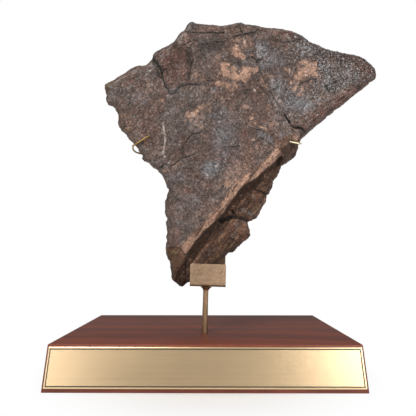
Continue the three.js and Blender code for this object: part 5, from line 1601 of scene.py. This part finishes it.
def wire_tree():
    """Geometry Nodes: a round wire along a curve, with a bead on its tip and solder at its foot"""
    tree = bpy.data.node_groups.new("Hook wire", "GeometryNodeTree")

    def socket(name, kind, default=None, in_out="INPUT"):
        made = tree.interface.new_socket(name, in_out=in_out, socket_type="NodeSocket" + kind)
        if default is not None:
            made.default_value = default

    socket("Route", "Geometry")
    for name, default in (("Radius", 1.0 * MM), ("Step", 1.4 * MM), ("Bead", 1.15 * MM),
                          ("Solder Start", 3 * MM), ("Solder End", 25 * MM), ("Solder Step", 3.6 * MM)):
        socket(name, "Float", default)
    socket("Sides", "Int", 14)
    socket("Seed", "Int", 4)
    socket("Material", "Material")
    socket("Wire", "Geometry", in_out="OUTPUT")
    given = tree.nodes.new("NodeGroupInput").outputs
    route, radius, sides = given["Route"], given["Radius"], given["Sides"]

    even = fed("GeometryNodeResampleCurve", {"Curve": route, "Length": given["Step"]}, mode="LENGTH")[0]
    ring = fed("GeometryNodeCurvePrimitiveCircle", {"Resolution": sides, "Radius": radius})[0]
    tube = fed("GeometryNodeCurveToMesh", {"Curve": even, "Profile Curve": ring, "Fill Caps": True})[0]
    tip = add(tree, "GeometryNodeCurveEndpointSelection", {"Start Size": 0, "End Size": 1}).outputs[0]
    ball = fed("GeometryNodeMeshUVSphere", {"Segments": sides, "Rings": 8, "Radius": given["Bead"]})[0]
    bead = fed("GeometryNodeInstanceOnPoints", {"Points": even, "Selection": tip, "Instance": ball})[0]
    foot = fed("GeometryNodeTrimCurve", {
        "Curve": route, 4: given["Solder Start"], 5: given["Solder End"]}, mode="LENGTH")[0]
    spots = fed("GeometryNodeResampleCurve", {
        "Curve": foot, "Length": given["Solder Step"]}, mode="LENGTH")[0]
    blob = fed("GeometryNodeMeshUVSphere", {"Segments": 16, "Rings": 10, "Radius": radius})[0]
    size = fed("FunctionNodeRandomValue", {
        0: (1.5, 1.42, 2.2), 1: (2.1, 1.6, 3.4), "Seed": given["Seed"]}, data_type="FLOAT_VECTOR")[0]
    solder = fed("GeometryNodeInstanceOnPoints", {"Points": spots, "Instance": blob, "Scale": size})[0]
    joined = tree.nodes.new("GeometryNodeJoinGeometry")
    for part in (solder, bead, tube):
        tree.links.new(part, joined.inputs[0])
    real = fed("GeometryNodeRealizeInstances", {0: joined.outputs[0]})[0]
    smooth = fed("GeometryNodeSetShadeSmooth", {"Geometry": real})[0]
    finished = fed("GeometryNodeSetMaterial", {"Geometry": smooth, "Material": given["Material"]})[0]
    add(tree, "NodeGroupOutput", {"Wire": finished})
    return tree


def smooth_route(points, steps):
    """Points on a centripetal curve through the given ones"""
    points = [Vector(p) * MM for p in points]
    points = [2 * points[0] - points[1], *points, 2 * points[-1] - points[-2]]
    route = []
    for p0, p1, p2, p3 in zip(points, points[1:], points[2:], points[3:]):
        t1 = (p1 - p0).length ** 0.5
        t2 = t1 + (p2 - p1).length ** 0.5
        t3 = t2 + (p3 - p2).length ** 0.5
        for k in range(steps):
            t = t1 + (t2 - t1) * k / steps
            a1 = p0.lerp(p1, t / t1)
            a2 = p1.lerp(p2, (t - t1) / (t2 - t1))
            a3 = p2.lerp(p3, (t - t2) / (t3 - t2))
            b1 = a1.lerp(a2, t / t2)
            b2 = a2.lerp(a3, (t - t1) / (t3 - t1))
            route.append(b1.lerp(b2, (t - t1) / (t2 - t1)))
    return route + [points[-2]]


class FOSSIL_OT_wires(bpy.types.Operator):
    """Bends the two hook wires that hold the bone to the cradle"""
    bl_idname = "fossil.wires"
    bl_label = "Hook wires"

    def execute(self, context):
        settings = context.scene.fossil_metal
        tree = wire_tree()
        sockets = {item.name: item.identifier for item in tree.interface.items_tree if item.in_out == "INPUT"}
        for name, node_name, points, seed, color in (
                ("left_wire", "left_hook_wire", LEFT_WIRE, 4, settings.left_wire),
                ("right_wire", "right_hook_wire", RIGHT_WIRE, 9, settings.right_wire)):
            material = wire_material(name.replace("_", " ") + " brass", color)
            route = smooth_route(points, 10)
            curve = bpy.data.curves.new(name, "CURVE")
            curve.dimensions = "3D"
            spline = curve.splines.new("POLY")
            spline.points.add(len(route) - 1)
            for point, place in zip(spline.points, route):
                point.co = (*place, 1)
            helper = bpy.data.objects.new(name + "_route", curve)
            context.scene.collection.objects.link(helper)
            modifier = helper.modifiers.new("Hook wire", "NODES")
            modifier.node_group = tree
            modifier[sockets["Radius"]] = settings.wire_radius
            modifier[sockets["Step"]] = settings.wire_step
            modifier[sockets["Bead"]] = settings.wire_radius * 1.18
            modifier[sockets["Seed"]] = seed
            modifier[sockets["Material"]] = material
            mesh = plain_mesh(helper)
            helper.modifiers.remove(modifier)
            bpy.data.objects.remove(helper)
            if len(mesh.polygons) == 0:
                raise RuntimeError("The hook wire has no faces")
            place_piece(name, mesh, material, node_name)
        return {"FINISHED"}


class FOSSIL_OT_plaque(bpy.types.Operator):
    """Makes the brass plaque with its bevel and its engraved border line"""
    bl_idname = "fossil.plaque"
    bl_label = "Plaque"

    def execute(self, context):
        arc = 6
        vertices, engraved = [], []
        for inset, depth, dark in PLAQUE_RINGS:
            half_x = PLAQUE_WIDTH / 2 - inset * MM
            half_z = PLAQUE_HEIGHT / 2 - inset * MM
            radius = max(PLAQUE_CORNER - inset * MM * 0.4, 0.2 * MM)
            for sign_x, sign_z, start in ((1, 1, 0), (-1, 1, 90), (-1, -1, 180), (1, -1, 270)):
                for k in range(arc + 1):
                    turn = math.radians(start + 90 * k / arc)
                    x = sign_x * (half_x - radius) + radius * math.cos(turn)
                    z = sign_z * (half_z - radius) + radius * math.sin(turn)
                    vertices.append((x, depth * MM - PLAQUE_THICK / 2, z))
                    engraved.append(dark)
        count = 4 * (arc + 1)
        faces = []
        for ring in range(len(PLAQUE_RINGS) - 1):
            for k in range(count):
                a, b = ring * count + k, ring * count + (k + 1) % count
                faces.append((a, b, b + count, a + count))
        last = (len(PLAQUE_RINGS) - 1) * count
        faces.append(tuple(range(last, last + count)))
        faces.append(tuple(range(count - 1, -1, -1)))
        slope = math.atan2(FRONT_LEAN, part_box("base")[1].z)
        low_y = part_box("base")[0].y
        middle = PLAQUE_ABOVE_EDGE + PLAQUE_HEIGHT / 2
        out = PLAQUE_GAP + PLAQUE_THICK / 2
        place = Vector((0, low_y + middle * math.sin(slope) - out * math.cos(slope),
                        middle * math.cos(slope) + out * math.sin(slope)))
        matrix = Matrix.Translation(place) @ Matrix.Rotation(-slope, 4, "X")
        placed = [matrix @ Vector(v) for v in vertices]
        piece = new_piece("brass_plaque", placed, faces, plaque_material(context.scene.fossil_metal),
                          "plaque")
        set_values(piece.data, "engraved", engraved)
        piece.data.set_sharp_from_angle(angle=math.radians(30))
        return {"FINISHED"}


class FOSSIL_OT_base(bpy.types.Operator):
    """Makes the wooden block with its leaning front, rounded edges and drilled hole"""
    bl_idname = "fossil.base"
    bl_label = "Base"

    def execute(self, context):
        settings = context.scene.fossil_wood
        low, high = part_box("base")
        profile = [(low.y, low.z), (high.y, low.z), (high.y, high.z), (low.y + FRONT_LEAN, high.z)]
        draft = extrude_profile(profile, high.x - low.x)
        bmesh.ops.bevel(
            draft, geom=draft.edges[:], offset=settings.rounding, segments=3, profile=0.5, affect="EDGES")
        drill = bmesh.new()
        radius = POST_FOOT_RADIUS + HOLE_ROOM
        depth = 2 * (POST_SUNK + 1 * MM)
        bmesh.ops.create_cone(drill, cap_ends=True, segments=48, radius1=radius, radius2=radius, depth=depth)
        bmesh.ops.transform(drill, matrix=armature_matrix(), verts=drill.verts)
        cutter_mesh = bpy.data.meshes.new("drill")
        drill.to_mesh(cutter_mesh)
        drill.free()
        cutter = bpy.data.objects.new("drill", cutter_mesh)
        context.scene.collection.objects.link(cutter)
        mesh = finished_mesh(draft, [("BOOLEAN", {"object": cutter, "operation": "DIFFERENCE"})])
        bpy.data.objects.remove(cutter)
        set_values(mesh, "edge", on_edges(mesh, BASE_EDGE_FACE))
        place_piece("wooden_base", mesh, wood_material(settings), "base")
        return {"FINISHED"}


def add_panel_light(name, place, aim, size, power, color=(1, 1, 1)):
    """A soft rectangular light that faces a point"""
    light = bpy.data.lights.new(name, "AREA")
    light.shape = "RECTANGLE"
    light.size, light.size_y = size
    light.energy = power
    light.color = color
    lamp = bpy.data.objects.new(name, light)
    lamp.location = place
    lamp.rotation_euler = (Vector(aim) - Vector(place)).to_track_quat("-Z", "Y").to_euler()
    bpy.context.scene.collection.objects.link(lamp)


class FOSSIL_OT_studio(bpy.types.Operator):
    """Sets up the camera, the soft lights, the white surroundings and the floor"""
    bl_idname = "fossil.studio"
    bl_label = "Studio"

    def execute(self, context):
        settings = context.scene.fossil_studio
        scene = context.scene
        scene.view_settings.view_transform = "Standard"
        camera = bpy.data.objects.new("camera", bpy.data.cameras.new("camera"))
        camera.data.lens = settings.focal_length
        camera.location = CAMERA_PLACE
        camera.rotation_euler = (CAMERA_TILT, 0, CAMERA_TURN)
        camera.data.clip_start, camera.data.clip_end = 0.01, 50
        scene.collection.objects.link(camera)
        scene.camera = camera

        key, fill, panel = settings.key_power, settings.fill_power, settings.panel_power
        add_panel_light("key_light", (-0.75, -1.15, 1.35), BONE_AIM, (0.9, 0.7), key, (1, 0.985, 0.96))
        add_panel_light("fill_light", (1.0, -1.2, 0.9), BONE_AIM, (0.35, 0.35), fill, (1, 0.98, 0.95))
        add_panel_light("top_light", (0.1, 0.35, 1.5), BONE_AIM, (1.2, 0.8), fill * 0.5)
        add_panel_light("right_panel", (1.15, -1.75, 0.6), PLAQUE_AIM, (0.9, 0.6), panel * 1.5)
        add_panel_light("left_panel", (-1.1, -1.85, 0.5), PLAQUE_AIM, (0.6, 0.5), panel * 0.45)

        world = bpy.data.worlds.new("white room")
        world.use_nodes = True
        tree = world.node_tree
        room = tree.nodes["Background"]
        room.inputs["Color"].default_value = (1, 1, 1, 1)
        seen = add(tree, "ShaderNodeLightPath").outputs["Is Camera Ray"]
        strength = plus(times(seen, 1 - settings.surroundings), settings.surroundings)
        tree.links.new(strength, room.inputs["Strength"])
        scene.world = world

        rim = [(8 * math.cos(math.radians(a)), 8 * math.sin(math.radians(a)), 0) for a in range(0, 360, 5)]
        mesh = bpy.data.meshes.new("floor")
        mesh.from_pydata(rim, [], [tuple(range(len(rim)))])
        mesh.materials.append(floor_material(settings.floor))
        floor = bpy.data.objects.new("floor", mesh)
        scene.collection.objects.link(floor)
        return {"FINISHED"}


OPERATORS = (FOSSIL_OT_bone, FOSSIL_OT_cradle, FOSSIL_OT_post, FOSSIL_OT_wires, FOSSIL_OT_plaque,
             FOSSIL_OT_base, FOSSIL_OT_studio)
SETTINGS = {"fossil_bone": BoneSettings, "fossil_metal": MetalSettings, "fossil_wood": WoodSettings,
            "fossil_studio": StudioSettings}


class FOSSIL_PT_panel(bpy.types.Panel):
    """Lists the pieces and their settings"""
    bl_idname = "FOSSIL_PT_panel"
    bl_label = "Fossil on a stand"
    bl_space_type = "VIEW_3D"
    bl_region_type = "UI"
    bl_category = "Fossil"

    def draw(self, context):
        for name, group in SETTINGS.items():
            box = self.layout.box()
            box.label(text=group.__doc__)
            for key in group.__annotations__:
                box.prop(getattr(context.scene, name), key)
        for operator in OPERATORS:
            self.layout.operator(operator.bl_idname)


def register():
    for kind in (*SETTINGS.values(), *OPERATORS, FOSSIL_PT_panel):
        bpy.utils.register_class(kind)
    for name, group in SETTINGS.items():
        setattr(bpy.types.Scene, name, PointerProperty(type=group))


def unregister():
    for name in SETTINGS:
        delattr(bpy.types.Scene, name)
    for kind in reversed((*SETTINGS.values(), *OPERATORS, FOSSIL_PT_panel)):
        bpy.utils.unregister_class(kind)


def main():
    register()
    bpy.ops.fossil.studio()
    bpy.ops.fossil.base()
    bpy.ops.fossil.plaque()
    bpy.ops.fossil.post()
    bpy.ops.fossil.cradle()
    bpy.ops.fossil.wires()
    bpy.ops.fossil.bone()


if __name__ == "__main__":
    main()
